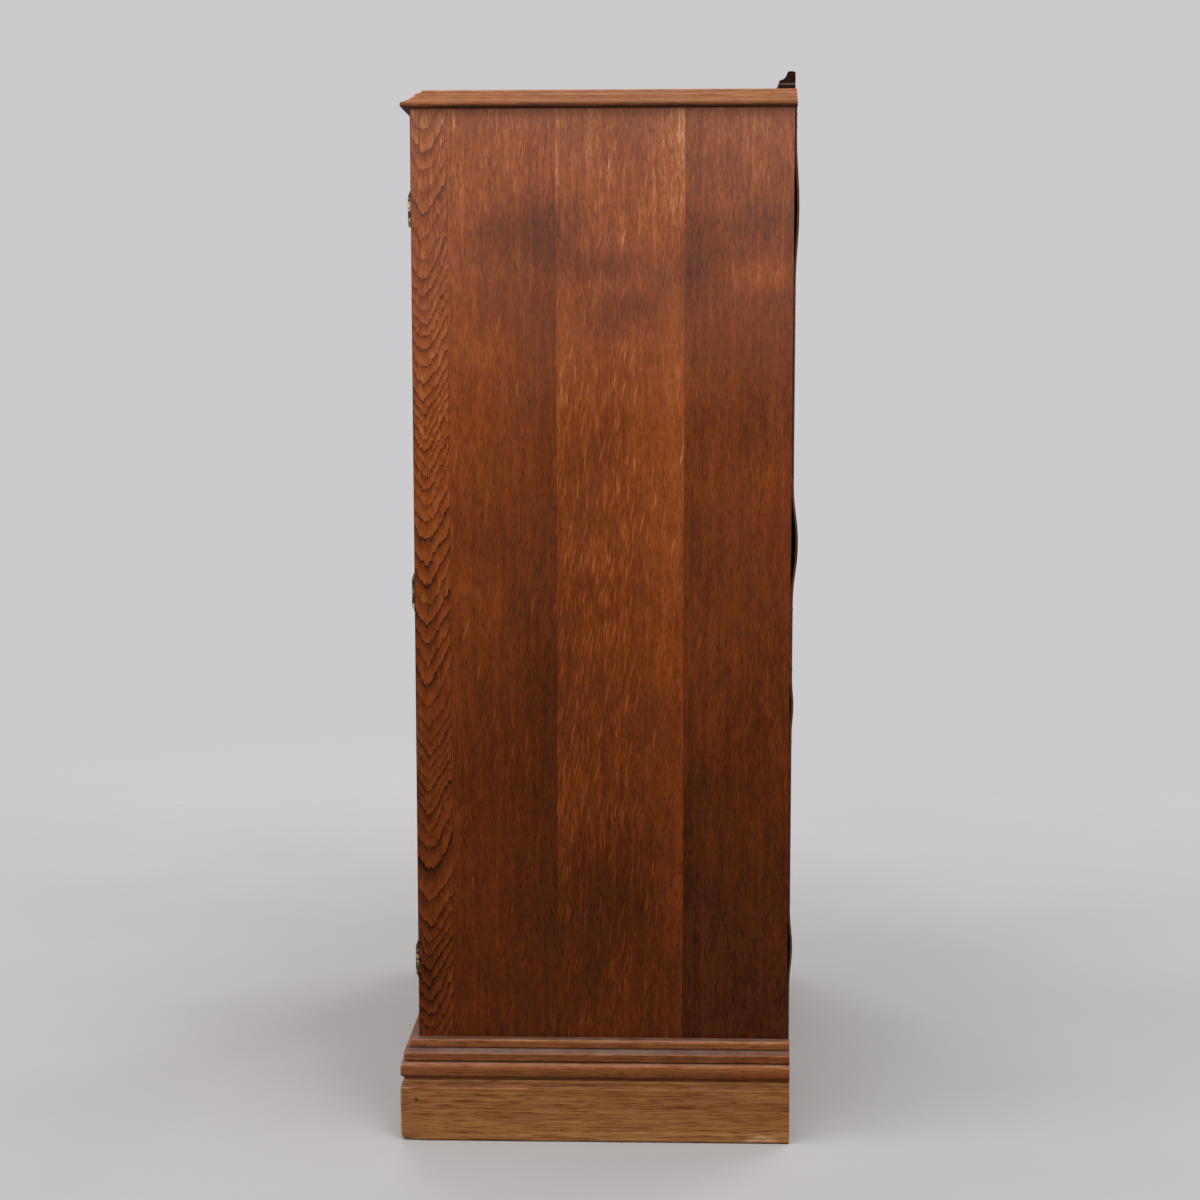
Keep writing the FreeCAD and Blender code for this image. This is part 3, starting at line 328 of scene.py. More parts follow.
def makeOldPolish():
    # polish that has been handled away in patches, with fine smears
    tree, place, given, gives = newGroup("Old polish", {"Patch Size": 0.16}, ["Gloss", "Roughness"])
    patches = cloud(tree, vectors(tree, "DIVIDE", place, given["Patch Size"]), (1, 1, 0.7), 4, 0.6)
    smears = cloud(tree, place, (45, 45, 120))
    plug(tree, span(tree, patches, 0.3, 0.7, 0.55, 1.0), gives["Gloss"])
    both = plus(tree, times(tree, patches, 0.65), smears, 0.35)
    plug(tree, span(tree, both, 0.3, 0.7, 0.60, 0.44), gives["Roughness"])
    return tree


def makeTarnish():
    # old metal: dark where nothing rubs it, with fine scratches
    tree, place, given, gives = newGroup("Tarnish", {"Patch Size": 0.008, "Cover": 0.5}, ["Tarnish", "Scratches"])
    patches = cloud(tree, vectors(tree, "DIVIDE", place, given["Patch Size"]), (1, 1, 1), 5, 0.65)
    patches = maths(tree, "ADD", patches, times(tree, given["Cover"], 0.3))
    plug(tree, span(tree, patches, 0.52, 0.78), gives["Tarnish"])
    scratch = cloud(tree, place, (3000, 3000, 260), 2, 0.7)
    plug(tree, span(tree, scratch, 0.35, 0.75), gives["Scratches"])
    return tree


growthRings = makeGrowthRings()
fineGrain = makeFineGrain()
rayFlecks = makeRayFlecks()
softSpot = makeSoftSpot()
edgeWearAndShade = makeEdgeWearAndShade()
oldPolish = makeOldPolish()
tarnish = makeTarnish()
print("shared effects:", len(bpy.data.node_groups))


def spotAt(tree, place, centre, reach, ragged):
    return use(tree, softSpot, {"Place": place, "Centre": centre, "Reach": reach, "Ragged": ragged})["Mask"]


def wornAndShadedEdges(tree, place, node, reach):
    low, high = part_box(node)
    corners = {"Low Corner": tuple(low), "High Corner": tuple(high)}
    return use(tree, edgeWearAndShade, {"Place": place, "Reach": reach, **corners})["Mask"]


def stainOf(*stops):
    # stops are (position, red, green, blue), from the darkest line in the grain to the palest rubbed edge
    return [(at, shade(*colour)) for at, *colour in stops]


stain = stainOf(
    (0.00, 22, 9, 4), (0.18, 50, 23, 9), (0.36, 77, 35, 12), (0.54, 107, 49, 16), (0.72, 137, 71, 29),
    (0.88, 168, 106, 62), (1.00, 206, 152, 106),
)
plainOak = dict(
    along="Z",
    shift=(0, 0, 0),  # sets the figure apart from that of other pieces
    stain=stain,
    stretch=1.0,  # below 1 the figure is longer
    tone=0.50,
    streaks=0.16,
    rings=0.14,
    pores=0.08,
    blotches=0.30,
    pith=(0.02, 0.09),
    tilt=0.03,
    ringWidth=0.0032,
    wander=0.012,
    gloss=0.25,
    wear=0.22,
    edge=0.0022,  # how far in an edge is worn
)
polishing = dict(
    grazing=(0.66, 0.86),  # old polish doesn't mirror the room when it is seen along its face
    shader={"Coat Roughness": 0.32, "Specular IOR Level": 0.02},
    relief=0.0006,
)


def turned(tree, place, along, shift):
    # the piece's place, turned so that its grain runs along Z
    node = newNode(tree, "Mapping")
    quarter = math.radians(90)
    turn = {"X": (0, -quarter, 0), "Y": (quarter, 0, 0), "Z": (0, 0, 0)}[along]
    fill(tree, node, {"Vector": place, "Location": shift, "Rotation": turn})
    return node.outputs[0]


def woodTone(tree, grain, look):
    # the figure of the wood as a tone from 0, dark, to 1, pale, and its relief
    grain = vectors(tree, "MULTIPLY", grain, (1, 1, look["stretch"]))
    fine = use(tree, fineGrain, {"Place": grain})
    tone = plus(tree, look["tone"], centred(tree, fine["Streaks"]), look["streaks"])
    rings = {"Pith Across": look["pith"][0], "Pith Depth": look["pith"][1], "Ring Width": look["ringWidth"]}
    rings |= {"Place": grain, "Tilt": look["tilt"], "Wander": look["wander"]}
    lines = use(tree, growthRings, rings)["Lines"]
    blotch = centred(tree, cloud(tree, grain, (8, 8, 3.2), 4, 0.55))
    tone = plus(tree, tone, lines, -look["rings"], fine["Pores"], -look["pores"], blotch, look["blotches"])
    return tone, plus(tree, times(tree, fine["Pores"], -0.5), lines, -0.5)


def finishWood(tree, shader, place, colour, relief, gloss, bump=0.25):
    polish = use(tree, oldPolish, {"Place": place})
    fill(tree, shader, {"Base Color": colour, "Roughness": polish["Roughness"], **polishing["shader"]})
    facing = newNode(tree, "LayerWeight").outputs["Facing"]
    gloss = times(tree, gloss, span(tree, facing, *polishing["grazing"], 1.0, 0.0))
    plug(tree, times(tree, polish["Gloss"], gloss), shader.inputs["Coat Weight"])
    emboss(tree, shader, relief, bump, polishing["relief"])


def squaredOak(name, look, node=None):
    # a flat or a sawn end; where a node is given, it is worn along that board's edges
    material, tree, shader, place = newMaterial(name)
    tone, relief = woodTone(tree, turned(tree, place, look["along"], look["shift"]), look)
    if node:
        tone = plus(tree, tone, wornAndShadedEdges(tree, place, node, look["edge"]), look["wear"])
    finishWood(tree, shader, place, rampOf(tree, tone, look["stain"]), relief, look["gloss"])
    return material


def dress(node, material):
    for slot in nodes[node].material_slots:
        slot.material = material


arris = math.radians(40)  # a turn sharper than this is an arris


def ease(node, width):
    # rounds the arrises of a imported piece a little; its own mesh stays as it is
    weld = nodes[node].modifiers.new("weld", "WELD")
    weld.merge_threshold = 0.00001
    bevel = nodes[node].modifiers.new("ease", "BEVEL")
    bevel.width = width
    bevel.segments = 2
    bevel.limit_method = "ANGLE"
    bevel.angle_limit = arris
    bevel.harden_normals = True


def finishBoard(node, look, easing=0.0008):
    dress(node, squaredOak(node.replace("_", " "), look, node))
    ease(node, easing)


# the two sides, each of four boards
sidePanel = dict(
    joints=(-0.2038, -0.0528, 0.1283),  # along Y, from the front strip to the rear board
    tone=(0.025, -0.015, 0.02, -0.035),  # of each board, from the front
    flecks=(0.0, 0.04, 0.85, 0.04),
    fleckTone=0.19,
    shift={"right": (0, 0, 0), "left": (0, 0.31, 2.7)},
    jumps=(0.1, 0.3, 0.22, 0.42),  # each board has its own figure
    # darker towards the foot: partly the wood's own colour and partly painted shade, as if lit from above
    heightTone=[
        (0.0, 0.325), (0.24, 0.325), (0.40, 0.395), (0.47, 0.425), (0.72, 0.55), (0.82, 0.545), (0.89, 0.58),
        (0.94, 0.615), (0.98, 0.63), (1.0, 0.665),
    ],
    sheenRise=(0.78, 0.95),  # the grain gets stronger up here, where the painted sheen would hide it
    streaks=(0.29, 0.56),  # below and above that rise
    pores=(-0.11, -0.20),
    mottle=0.16,
    blotches=0.26,
    stripTone=0.11,
    lobes=-0.36,
    lobeMiddle=-0.2375,
    lobeSway=0.016,
    lobeBlunt=(0.003, 0.013),
    lobeSlope=2.0,
    lobeRagged=0.013,
    lobeUneven=0.022,
    lobeWidth=0.024,  # height of one year's line in the front strip
    lobeGather=7.0,
    patches={  # (y, z, half width, half height, change of tone)
        "right": [
            (-0.080, 1.308, 0.075, 0.055, -0.18), (-0.002, 1.258, 0.070, 0.032, -0.15),
            (0.080, 1.225, 0.045, 0.050, -0.08), (0.150, 1.270, 0.045, 0.075, -0.16),
            (0.236, 1.243, 0.060, 0.032, 0.13), (0.235, 0.970, 0.045, 0.065, 0.08),
            (-0.166, 0.800, 0.050, 0.060, 0.07), (-0.080, 0.740, 0.050, 0.200, -0.04),
            # the narrow pale line at y -0.05, beside the joint of the second and third boards, is a painted
            # highlight along that joint
            (0.100, 0.980, 0.050, 0.600, 0.06), (-0.0500, 1.395, 0.0040, 0.085, 0.15),
            (0.225, 1.318, 0.070, 0.028, -0.13), (-0.150, 1.300, 0.060, 0.040, -0.05),
            (-0.150, 1.140, 0.050, 0.040, 0.05), (0.225, 0.200, 0.090, 0.100, -0.05),
            (0.030, 1.190, 0.070, 0.036, -0.11), (0.215, 1.010, 0.090, 0.120, -0.06),
            (0.200, 1.440, 0.110, 0.040, 0.06), (0.215, 0.430, 0.090, 0.110, 0.04),
            (0.015, 0.330, 0.075, 0.160, -0.06), (-0.150, 0.190, 0.060, 0.040, 0.06),
            (-0.090, 0.350, 0.045, 0.090, -0.05), (-0.235, 0.230, 0.030, 0.120, -0.08),
        ],
        "left": [
            (0.120, 1.190, 0.070, 0.080, -0.12), (-0.090, 0.980, 0.060, 0.140, 0.06),
            (0.020, 0.640, 0.080, 0.110, -0.08), (-0.160, 0.380, 0.050, 0.090, 0.06),
            (0.220, 0.860, 0.050, 0.160, -0.05),
        ],
    },
    margins=[  # beside a joint, on its rear side where the reach is positive: (y, reach, change of tone)
        (-0.2038, 0.050, 0.04),
        (-0.0528, -0.050, -0.03),
        (-0.0528, 0.030, 0.03),
        (0.1283, -0.050, 0.055),
        (0.1283, 0.040, -0.05),
    ],
    spotRagged=0.9,
    jointTone=-0.10,
    split=(frontY + 0.0125, 1.408, 1.425),  # y, and where it fades in
    nick=((0, -0.2055, 1.438), (9, 0.0016, 0.006)),
    hurt=-0.32,
    # a painted reflection of a bright room in the polish, pale and greyish towards the top
    paintedSheen=[(0.70, 0.0), (0.83, 0.13), (0.93, 0.21), (0.97, 0.27), (1.0, 0.42)],
    paintedSheenColour=shade(144, 98, 82),
    edge=0.0016,
    # the arrises darkened: painted shade where the rounded edges turn from the light
    edgeShade=0.55,
    edgeShadeColour=shade(40, 24, 18),
    gloss=0.45,
    easing=0.0011,
)


def perBoard(tree, y, values):
    stops = [0.0] + [(joint - frontY) / (rearY - frontY) for joint in sidePanel["joints"]]
    across = span(tree, y, frontY, rearY, smooth=False)
    grey = rampOf(tree, across, [(at, 0.5 + value) for at, value in zip(stops, values)], constant=True)
    return centred(tree, grey)


def stripLobes(tree, y, z, place):
    # pointed growth lines of the flat-sawn front strip, points downwards; 3.1 and 7.7 only set the noises apart
    look = sidePanel
    sway = centred(tree, cloud(tree, joined(tree, 0.0, 0.0, z), (1, 1, 6), 1))
    away = minus(tree, y, plus(tree, look["lobeMiddle"], sway, look["lobeSway"]))
    blunt = span(tree, cloud(tree, joined(tree, 3.1, 0.0, z), (1, 1, 4.5), 1), 0.35, 0.65, *look["lobeBlunt"])
    far = maths(tree, "SQRT", plus(tree, times(tree, blunt, blunt), away, away))
    height = minus(tree, z, times(tree, minus(tree, far, blunt), look["lobeSlope"]))
    uneven = centred(tree, cloud(tree, place, (1, 90, 22), 2, 0.6))
    ragged = centred(tree, cloud(tree, place, (1, 480, 60), 1))
    height = plus(tree, height, ragged, look["lobeRagged"], uneven, look["lobeUneven"])
    gather = cloud(tree, joined(tree, 7.7, 0.0, height), (1, 1, 3.6), 1)
    years = plus(tree, maths(tree, "DIVIDE", height, -look["lobeWidth"]), gather, look["lobeGather"])
    part = maths(tree, "FRACT", years)
    fade = maths(tree, "POWER", minus(tree, 1.0, part), 2.0)
    edge = span(tree, part, 0.04, 0.20, 1.0, 0.0)
    return times(tree, plus(tree, fade, edge, 0.6), yearStrength(tree, years, 0.4))


def sideOak(name, node, shift, patches):
    look = sidePanel
    material, tree, shader, place = newMaterial(name)
    x, y, z = parts(tree, place)
    tall = span(tree, z, 0.0, topUnderside, smooth=False)
    # the side darkens towards its foot by height: partly its own colour, partly painted shade
    tone = maths(tree, "ADD", rampOf(tree, tall, look["heightTone"]), perBoard(tree, y, look["tone"]))

    # the grain's place jumps at the joints
    jump = times(tree, perBoard(tree, y, look["jumps"]), 9.0)
    grain = vectors(tree, "ADD", joined(tree, y, maths(tree, "ADD", x, jump), z), shift)
    fine = use(tree, fineGrain, {"Place": grain})
    streaks = span(tree, tall, *look["sheenRise"], *look["streaks"])
    pores = span(tree, tall, *look["sheenRise"], *look["pores"])
    mottle = centred(tree, cloud(tree, grain, (60, 60, 26), 3, 0.6))
    blotch = centred(tree, cloud(tree, grain, (6.5, 6.5, 4.5), 4, 0.55))
    tone = plus(tree, tone, minus(tree, fine["Streaks"], 0.4), streaks, mottle, look["mottle"])
    tone = plus(tree, tone, blotch, look["blotches"], fine["Pores"], pores)

    strip = maths(tree, "LESS_THAN", y, look["joints"][0])
    strip = times(tree, strip, maths(tree, "GREATER_THAN", y, frontY + 0.0006))
    lobes = stripLobes(tree, y, maths(tree, "ADD", z, shift[2]), vectors(tree, "ADD", place, shift))
    lobes = times(tree, lobes, strip)
    tone = plus(tree, tone, strip, look["stripTone"], lobes, look["lobes"])

    # flecks thin out in the dark blotch, at the foot and towards the back
    level = span(tree, cloud(tree, place, (1, 5, 4)), 0.35, 0.6, 0.35, 1.0)
    belowBlotch = span(tree, z, 1.10, 1.30, 1.0, 0.08)
    aboveFoot = span(tree, z, 0.22, 0.42, 0.3, 1.0)
    beforeBack = span(tree, y, 0.035, 0.090, 1.0, 0.05)
    amount = times(tree, perBoard(tree, y, look["flecks"]), level, belowBlotch, aboveFoot, beforeBack)
    flecks = use(tree, rayFlecks, {"Place": grain, "Amount": amount})["Flecks"]
    tone = plus(tree, tone, flecks, look["fleckTone"])

    for spotY, spotZ, wide, high, change in patches:
        spot = spotAt(tree, place, (0, spotY, spotZ), (9, wide, high), look["spotRagged"])
        tone = plus(tree, tone, spot, change)
    for joint, reach, change in look["margins"]:
        near = span(tree, y, joint, joint + reach, 1.0, 0.0)
        own = maths(tree, "GREATER_THAN" if reach > 0 else "LESS_THAN", y, joint)
        tone = plus(tree, tone, times(tree, near, own), change)
    for joint in look["joints"]:
        tone = plus(tree, tone, lineAt(tree, y, joint, 0.0003, 0.0011), look["jointTone"])

    # a short split at the head of the front strip, and a filled nick beside the joint
    splitY, splitFoot, splitFull = look["split"]
    split = times(tree, lineAt(tree, y, splitY, 0.0002, 0.0009), span(tree, z, splitFoot, splitFull))
    hurt = maths(tree, "MAXIMUM", split, spotAt(tree, place, *look["nick"], 0.1))
    tone = plus(tree, tone, hurt, look["hurt"])

    # painted shade along the side's arrises
    wearAndPaintedLight = times(tree, wornAndShadedEdges(tree, place, node, look["edge"]), look["edgeShade"])
    colour = blend(tree, wearAndPaintedLight, rampOf(tree, tone, stain), look["edgeShadeColour"])
    # a painted sheen, pale and greyish, grows towards the top
    colour = blend(tree, rampOf(tree, tall, look["paintedSheen"]), colour, look["paintedSheenColour"])
    relief = plus(tree, times(tree, fine["Pores"], -0.5), lobes, -0.4, hurt, -0.8)
    gloss = times(tree, span(tree, z, 0.50, 1.45, 0.06, 1.0), look["gloss"])
    finishWood(tree, shader, place, colour, relief, gloss)
    return material


for side, patches in sidePanel["patches"].items():
    node = f"{side}_side_panel"
    dress(node, sideOak(f"{side} side oak", node, sidePanel["shift"][side], patches))
    ease(node, sidePanel["easing"])
    print(f"{side} side:", len(patches), "patches")


# sections of the moulded pieces, swept along their runs
sweeping = dict(
    corner=0.35,  # a turn sharper than this, in radians, is eased
    close=(0.0008, 0.002, 0.004, 0.008),  # extra points beside a corner of the section
    exposure=0.0014,  # how far to either side a point is compared
    contrast=2.2,  # of the wear and highlight, and the dirt and painted shade, that come of it
    # beside a mitre, and at a plain end: (distance, share of the projection that a station leans back)
    mitre=[
        (0.0, 1.0), (0.0001, 0.97), (0.0002, 0.93), (0.0004, 0.86), (0.0007, 0.75), (0.001, 0.6), (0.0014, 0.4),
        (0.0018, 0.2),
    ],
    plain=[(0.0, 0.0), (0.0006, 0.0)],
    margin=0.004,  # from an end to the first even station
    spacing=0.011,
    wearReach=0.003,
    rubReach=0.004,
)
sweptOak = dict(
    plainOak,
    foot=0.0,  # height of the section's own zero
    easing=0.0008,
    skin=0.004,  # a section further out than this is seen, and has its unevenness
    brokenCorner=0.0,  # height of a broken foot corner
    dustColour=shade(132, 110, 96),
)
sawnEnd = dict(along="Y", gloss=0.05, stain=stain)


def arcPoints(start, end, radius, turn, steps=9):
    # turn is 1 for a round and -1 for a hollow, on a section that runs anticlockwise
    start, end = Vector(start), Vector(end)
    middle, chord = (start + end) / 2, end - start
    rise = math.sqrt(max(radius * radius - chord.length_squared / 4, 0))
    centre = middle + Vector((-chord.y, chord.x)).normalized() * rise * turn
    first = math.atan2(*(start - centre).yx)
    sweepAngle = math.atan2(*(end - centre).yx) - first
    if turn * sweepAngle < 0:
        sweepAngle += 2 * math.pi * turn
    angles = [first + sweepAngle * step / steps for step in range(1, steps + 1)]
    return [centre + radius * Vector((math.cos(a), math.sin(a))) for a in angles]


def sectionPoints(section, easing, closed):
    # in metres, with arcs stepped, corners eased and close points beside them; an entry of a section is
    # (out, up) in millimetres, or (out, up, radius, turn) for an arc that ends there
    raw = []
    for entry in section:
        point = Vector(entry[:2]) / 1000
        if len(entry) == 4:
            raw += arcPoints(raw[-1], point, entry[2] / 1000, entry[3])
        else:
            raw.append(point)
    eased = []
    for index, here in enumerate(raw):
        if not closed and index in (0, len(raw) - 1):
            eased.append(here)
            continue
        back, on = raw[index - 1] - here, raw[(index + 1) % len(raw)] - here
        if back.angle(-on) > sweeping["corner"]:
            cut = min(easing, 0.4 * back.length, 0.4 * on.length)
            first, last = here + back.normalized() * cut, here + on.normalized() * cut
            for t in (0, 0.25, 0.5, 0.75, 1):
                eased.append(first * (1 - t) ** 2 + here * 2 * t * (1 - t) + last * t * t)
        else:
            eased.append(here)
    points = []
    for index in range(len(eased) if closed else len(eased) - 1):
        here, on = eased[index], eased[(index + 1) % len(eased)]
        length = (on - here).length
        points.append(here)
        near = [at for at in sweeping["close"] if at < 0.45 * length]
        for at in near + [length - at for at in reversed(near)]:
            points.append(here.lerp(on, at / length))
    if not closed:
        points.append(eased[-1])
    return points


def exposure(points, closed):
    # for each point of a section: how far it stands out (wear, with a painted highlight) and how far it is tucked in
    # (dirt and painted shade)
    reach = sweeping["exposure"]

    def walk(index, step):
        here, left = points[index], reach
        while left > 0:
            ahead = index + step
            if not closed and not 0 <= ahead < len(points):
                return here
            on = points[ahead % len(points)]
            length = (on - here).length
            if length >= left:
                return here.lerp(on, left / max(length, 1e-9))
            here, left, index = on, left - length, ahead
        return here

    wear, dirtAndShade = [], []
    for index, here in enumerate(points):
        before, after = walk(index, -1), walk(index, 1)
        along = (after - before).normalized()
        outward = Vector((along.y, -along.x))
        bulge = -((before + after) / 2 - here).dot(outward) / reach * sweeping["contrast"]
        wear.append(min(1.0, max(0.0, bulge)))
        dirtAndShade.append(min(1.0, max(0.0, -bulge)))
    return wear, dirtAndShade


def runStations(length, startMitred, endMitred):
    # (place along the run, how far the station leans back at the start, and on at the end)
    start, end = (sweeping["mitre" if mitred else "plain"] for mitred in (startMitred, endMitred))
    clear = length - 2 * sweeping["margin"]
    steps = round(clear / sweeping["spacing"])
    stations = [(at, back, 0.0) for at, back in start]
    stations += [(sweeping["margin"] + clear * step / steps, 0.0, 0.0) for step in range(steps + 1)]
    return stations + [(length - at, 0.0, on) for at, on in reversed(end)]


def pathStations(corners, mitred):
    # for each station: base, outward, distance along the path, lean, and (distance, lean) of each mitre
    stations, travelled = [], 0.0
    runs = list(zip(corners[:-1], corners[1:]))
    for index, (start, end) in enumerate(runs):
        start, end = Vector(start), Vector(end)
        length, way = (end - start).length, (end - start).normalized()
        side = Vector((way.y, -way.x))
        startMitred = mitred[0] if index == 0 else True
        endMitred = mitred[1] if index == len(runs) - 1 else True
        for at, back, on in runStations(length, startMitred, endMitred):
            if index > 0 and at == 0:
                continue  # the mitre's own station is there already
            near = [(at, back)] if startMitred else []
            near += [(length - at, on)] if endMitred else []
            stations.append((start + way * at, side - way * back + way * on, travelled + at, on - back, near))
        travelled += length
    return stations


def unevenness(place, amount):
    # never outwards, so that a piece stays within its size
    slow = noise.noise(place * 9.0)
    quick = noise.noise(place * 55.0 + Vector((5, 5, 5)))
    return amount * (0.5 + 0.35 * slow + 0.15 * quick)


def brokenAway(look, up, away):
    # how far a foot corner has broken back
    tall = look["brokenCorner"]
    if up >= tall:
        return 0.0
    depth = 1 - math.sqrt(max(0.0, 1 - (1 - up / tall) ** 2))
    return 0.6 * tall * depth * max(0.0, 1 - away / look["brokenReach"]) ** 1.5


def sweep(name, look, corners, mitred, closed=True):
    # carries a section along a path of corners, seen from above with the outside on its right
    points = sectionPoints(look["section"], look["easing"], closed)
    wear, dirtAndShade = exposure(points, closed)
    stations = pathStations(corners, mitred)
    places, wearOut, dirtAndShadeOut, grainOut = [], [], [], []
    for base, outward, along, lean, mitres in stations:
        for (out, up), wearAndPaintedLight, dirtyAndShaded in zip(points, wear, dirtAndShade):
            inset = 0.0
            if out > look["skin"]:
                inset = unevenness(Vector((along, out * 0.4, up)), look["uneven"])
                for distance, back in mitres:
                    away = distance + (1 - back) * out
                    inset += look["cornerWear"] * max(0.0, 1 - away / sweeping["wearReach"]) ** 2
                    inset += brokenAway(look, up, away)
                    wearAndPaintedLight = max(wearAndPaintedLight, 0.8 * max(0.0, 1 - away / sweeping["rubReach"]))
            flat = base + outward * (out - inset)
            places.append((flat.x, flat.y, look["foot"] + up))
            wearOut.append(wearAndPaintedLight)
            dirtAndShadeOut.append(dirtyAndShaded)
            grainOut.append((out, up, along + lean * out))
    wide, faces = len(points), []
    for first in range(0, (len(stations) - 1) * wide, wide):
        for index in range(wide if closed else wide - 1):
            here, on = first + index, first + (index + 1) % wide
            faces.append((here, here + wide, on + wide, on))
    kinds = [0] * len(faces)
    start, end = tuple(range(wide)), tuple(range(len(places) - wide, len(places)))
    if closed:
        faces += [start, end[::-1]]
        kinds += [1, 1]
    else:  # the top board: its flat, its underside and its plain back
        heads, feet = tuple(range(wide - 1, len(places), wide)), tuple(range(0, len(places), wide))
        faces += [heads, feet[::-1], end + start[::-1]]
        kinds += [2, 2, 1]
    return addPiece(name, places, faces, kinds, {"wear": wearOut, "dirtAndShade": dirtAndShadeOut}, grainOut)


def addPiece(name, places, faces, kinds, values, grain):
    mesh = bpy.data.meshes.new(name)
    mesh.from_pydata(places, [], faces)
    for key, numbers in values.items():
        mesh.attributes.new(key, "FLOAT", "POINT").data.foreach_set("value", numbers)
    flat = [number for place in grain for number in place]
    mesh.attributes.new("grain", "FLOAT_VECTOR", "POINT").data.foreach_set("vector", flat)
    mesh.polygons.foreach_set("material_index", kinds)
    work = bmesh.new()
    work.from_mesh(mesh)
    bmesh.ops.recalc_face_normals(work, faces=work.faces)
    work.to_mesh(mesh)
    work.free()
    mesh.polygons.foreach_set("use_smooth", [True] * len(mesh.polygons))
    mesh.set_sharp_from_angle(angle=arris)
    return placed(name, mesh)


def standIn(piece, node, materials):
    for material in materials:
        piece.data.materials.append(material)
    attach(piece, "carcass")
    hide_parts(node)


def runOak(name, look):
    # oak that follows a moulding: its grain is the mesh's own, its wear and painted highlight, its dirt and painted
    # shade too
    material, tree, shader, place = newMaterial(name)
    ownGrain = attribute(tree, "grain", "Vector")
    grain = vectors(tree, "ADD", ownGrain, look["shift"])
    tone, relief = woodTone(tree, grain, look)
    _, up, _ = parts(tree, ownGrain)
    # bands of tone across the section, mostly painted light and shade
    for low, high, change in look.get("bands", ()):
        tone = plus(tree, tone, span(tree, up, low, high), change)
    for centre, reach, change in look.get("marks", ()):
        tone = plus(tree, tone, spotAt(tree, place, centre, reach, 1.2), change)
    patchy = span(tree, cloud(tree, grain, (55, 55, 20), 4, 0.65), 0.3, 0.7, 0.35, 1.25)
    # paler along the arrises: their wear, and a painted highlight
    tone = plus(tree, tone, times(tree, attribute(tree, "wear"), patchy), look["wear"])
    # darker in the hollows of the section: dirt and painted shade
    dirtAndShadeAmount = times(tree, attribute(tree, "dirtAndShade"), look["dirtAndShade"])
    colour = blend(tree, dirtAndShadeAmount, rampOf(tree, tone, look["stain"]), look["dirtAndShadeColour"])
    if look.get("dust"):
        _, _, upward = parts(tree, newNode(tree, "TexCoord").outputs["Normal"])
        dust = times(tree, span(tree, upward, 0.3, 0.95), look["dust"])
        colour = blend(tree, times(tree, dust, patchy), colour, look["dustColour"])
    finishWood(tree, shader, place, colour, relief, look["gloss"], bump=0.35)
    return material


# plinth and base moulding: three runs each, whose corners go round with the outside on their right
baseRuns = {  # corners, and which ends are mitred
    "front": ([(-halfWidth, frontY), (halfWidth, frontY)], (True, True)),
    "right": ([(halfWidth, frontY), (halfWidth, backY)], (True, False)),
    "left": ([(-halfWidth, backY), (-halfWidth, frontY)], (False, True)),
}
plinth = dict(
    sweptOak,
    section=[(0, 0), (23.5, 0), (25.5, 2), (25.5, 79), (20.4, 86.25, 9, -1), (20.4, 93.5), (0, 93.5)],
    uneven=0.0005,
    cornerWear=0.0006,
    brokenCorner=0.013,
    brokenReach=0.034,
    marks=[  # (centre, reach, change of tone)
        ((0.4575, 0.243, 0.007), (0.03, 0.030, 0.006), 0.30), ((0.4575, -0.257, 0.062), (0.01, 0.003, 0.003), -0.5),
    ],
    shift=(0.7, 0.2, 0.4),
    stain=stainOf(
        (0.00, 34, 20, 12), (0.20, 66, 38, 20), (0.40, 98, 58, 30), (0.60, 125, 78, 41), (0.80, 152, 107, 62),
        (1.00, 196, 156, 116),
    ),
    tone=0.64,
    bands=[  # (height, height where it is full, change of tone); the dark foot and the dark line under the base moulding are painted shade
        (0.0036, 0.0012, -0.45), (0.055, 0.010, 0.09), (0.0785, 0.0795, -0.06), (0.0862, 0.0872, 0.16),
        (0.0893, 0.0910, -0.44),
    ],
    stretch=0.34,
    streaks=0.32,
    rings=0.13,
    pores=0.27,
    pith=(0.10, -0.02),
    tilt=0.015,
    wander=0.02,
    wear=0.20,
    dirtAndShade=0.45,
    dirtAndShadeColour=shade(70, 50, 38),
    gloss=0.12,
    end=dict(sawnEnd, tone=0.34, ringWidth=0.002),
)
baseMoulding = dict(
    sweptOak,
    easing=0.0006,
    section=[
        (0, 93.5), (19.5, 93.5), (25.5, 99.5, 6, 1), (25.5, 110.5), (19.5, 116.5, 6, 1), (18.5, 116.5),
        (18.5, 118), (21.2, 120.7, 2.7, 1), (21.2, 129), (19.7, 130.5), (14.5, 135.5), (14.5, 144.5),
        (10.5, 148.5, 4, 1), (0, 148.5),
    ],
    uneven=0.0004,
    cornerWear=0.0007,
    shift=(0.3, 0.5, 1.9),
    stain=stainOf(
        (0.00, 26, 13, 7), (0.20, 58, 31, 15), (0.40, 90, 46, 18), (0.60, 123, 70, 32), (0.80, 157, 103, 63),
        (1.00, 212, 168, 130),
    ),
    tone=0.51,
    stretch=0.5,
    streaks=0.28,
    pores=0.16,
    pith=(0.05, -0.06),
    tilt=0.02,
    ringWidth=0.0035,
    # (height, height where it is full, change of tone): painted light and shade, the torus lit above and shaded
    # below, dark shaded lines in the quirks, and shade where the cap meets the side
    bands=[
        (0.1000, 0.0940, -0.24), (0.0985, 0.1100, 0.17), (0.1130, 0.1155, -0.07), (0.1158, 0.1168, -0.19),
        (0.1180, 0.1188, 0.14), (0.1298, 0.1315, -0.12), (0.1336, 0.1352, -0.09), (0.1365, 0.1385, 0.30),
        (0.1474, 0.1485, -0.26),
    ],
    dust=0.4,
    wear=0.34,
    dirtAndShade=0.8,
    dirtAndShadeColour=shade(36, 22, 16),
    gloss=0.35,
    end=dict(sawnEnd, tone=0.30, ringWidth=0.002),
)


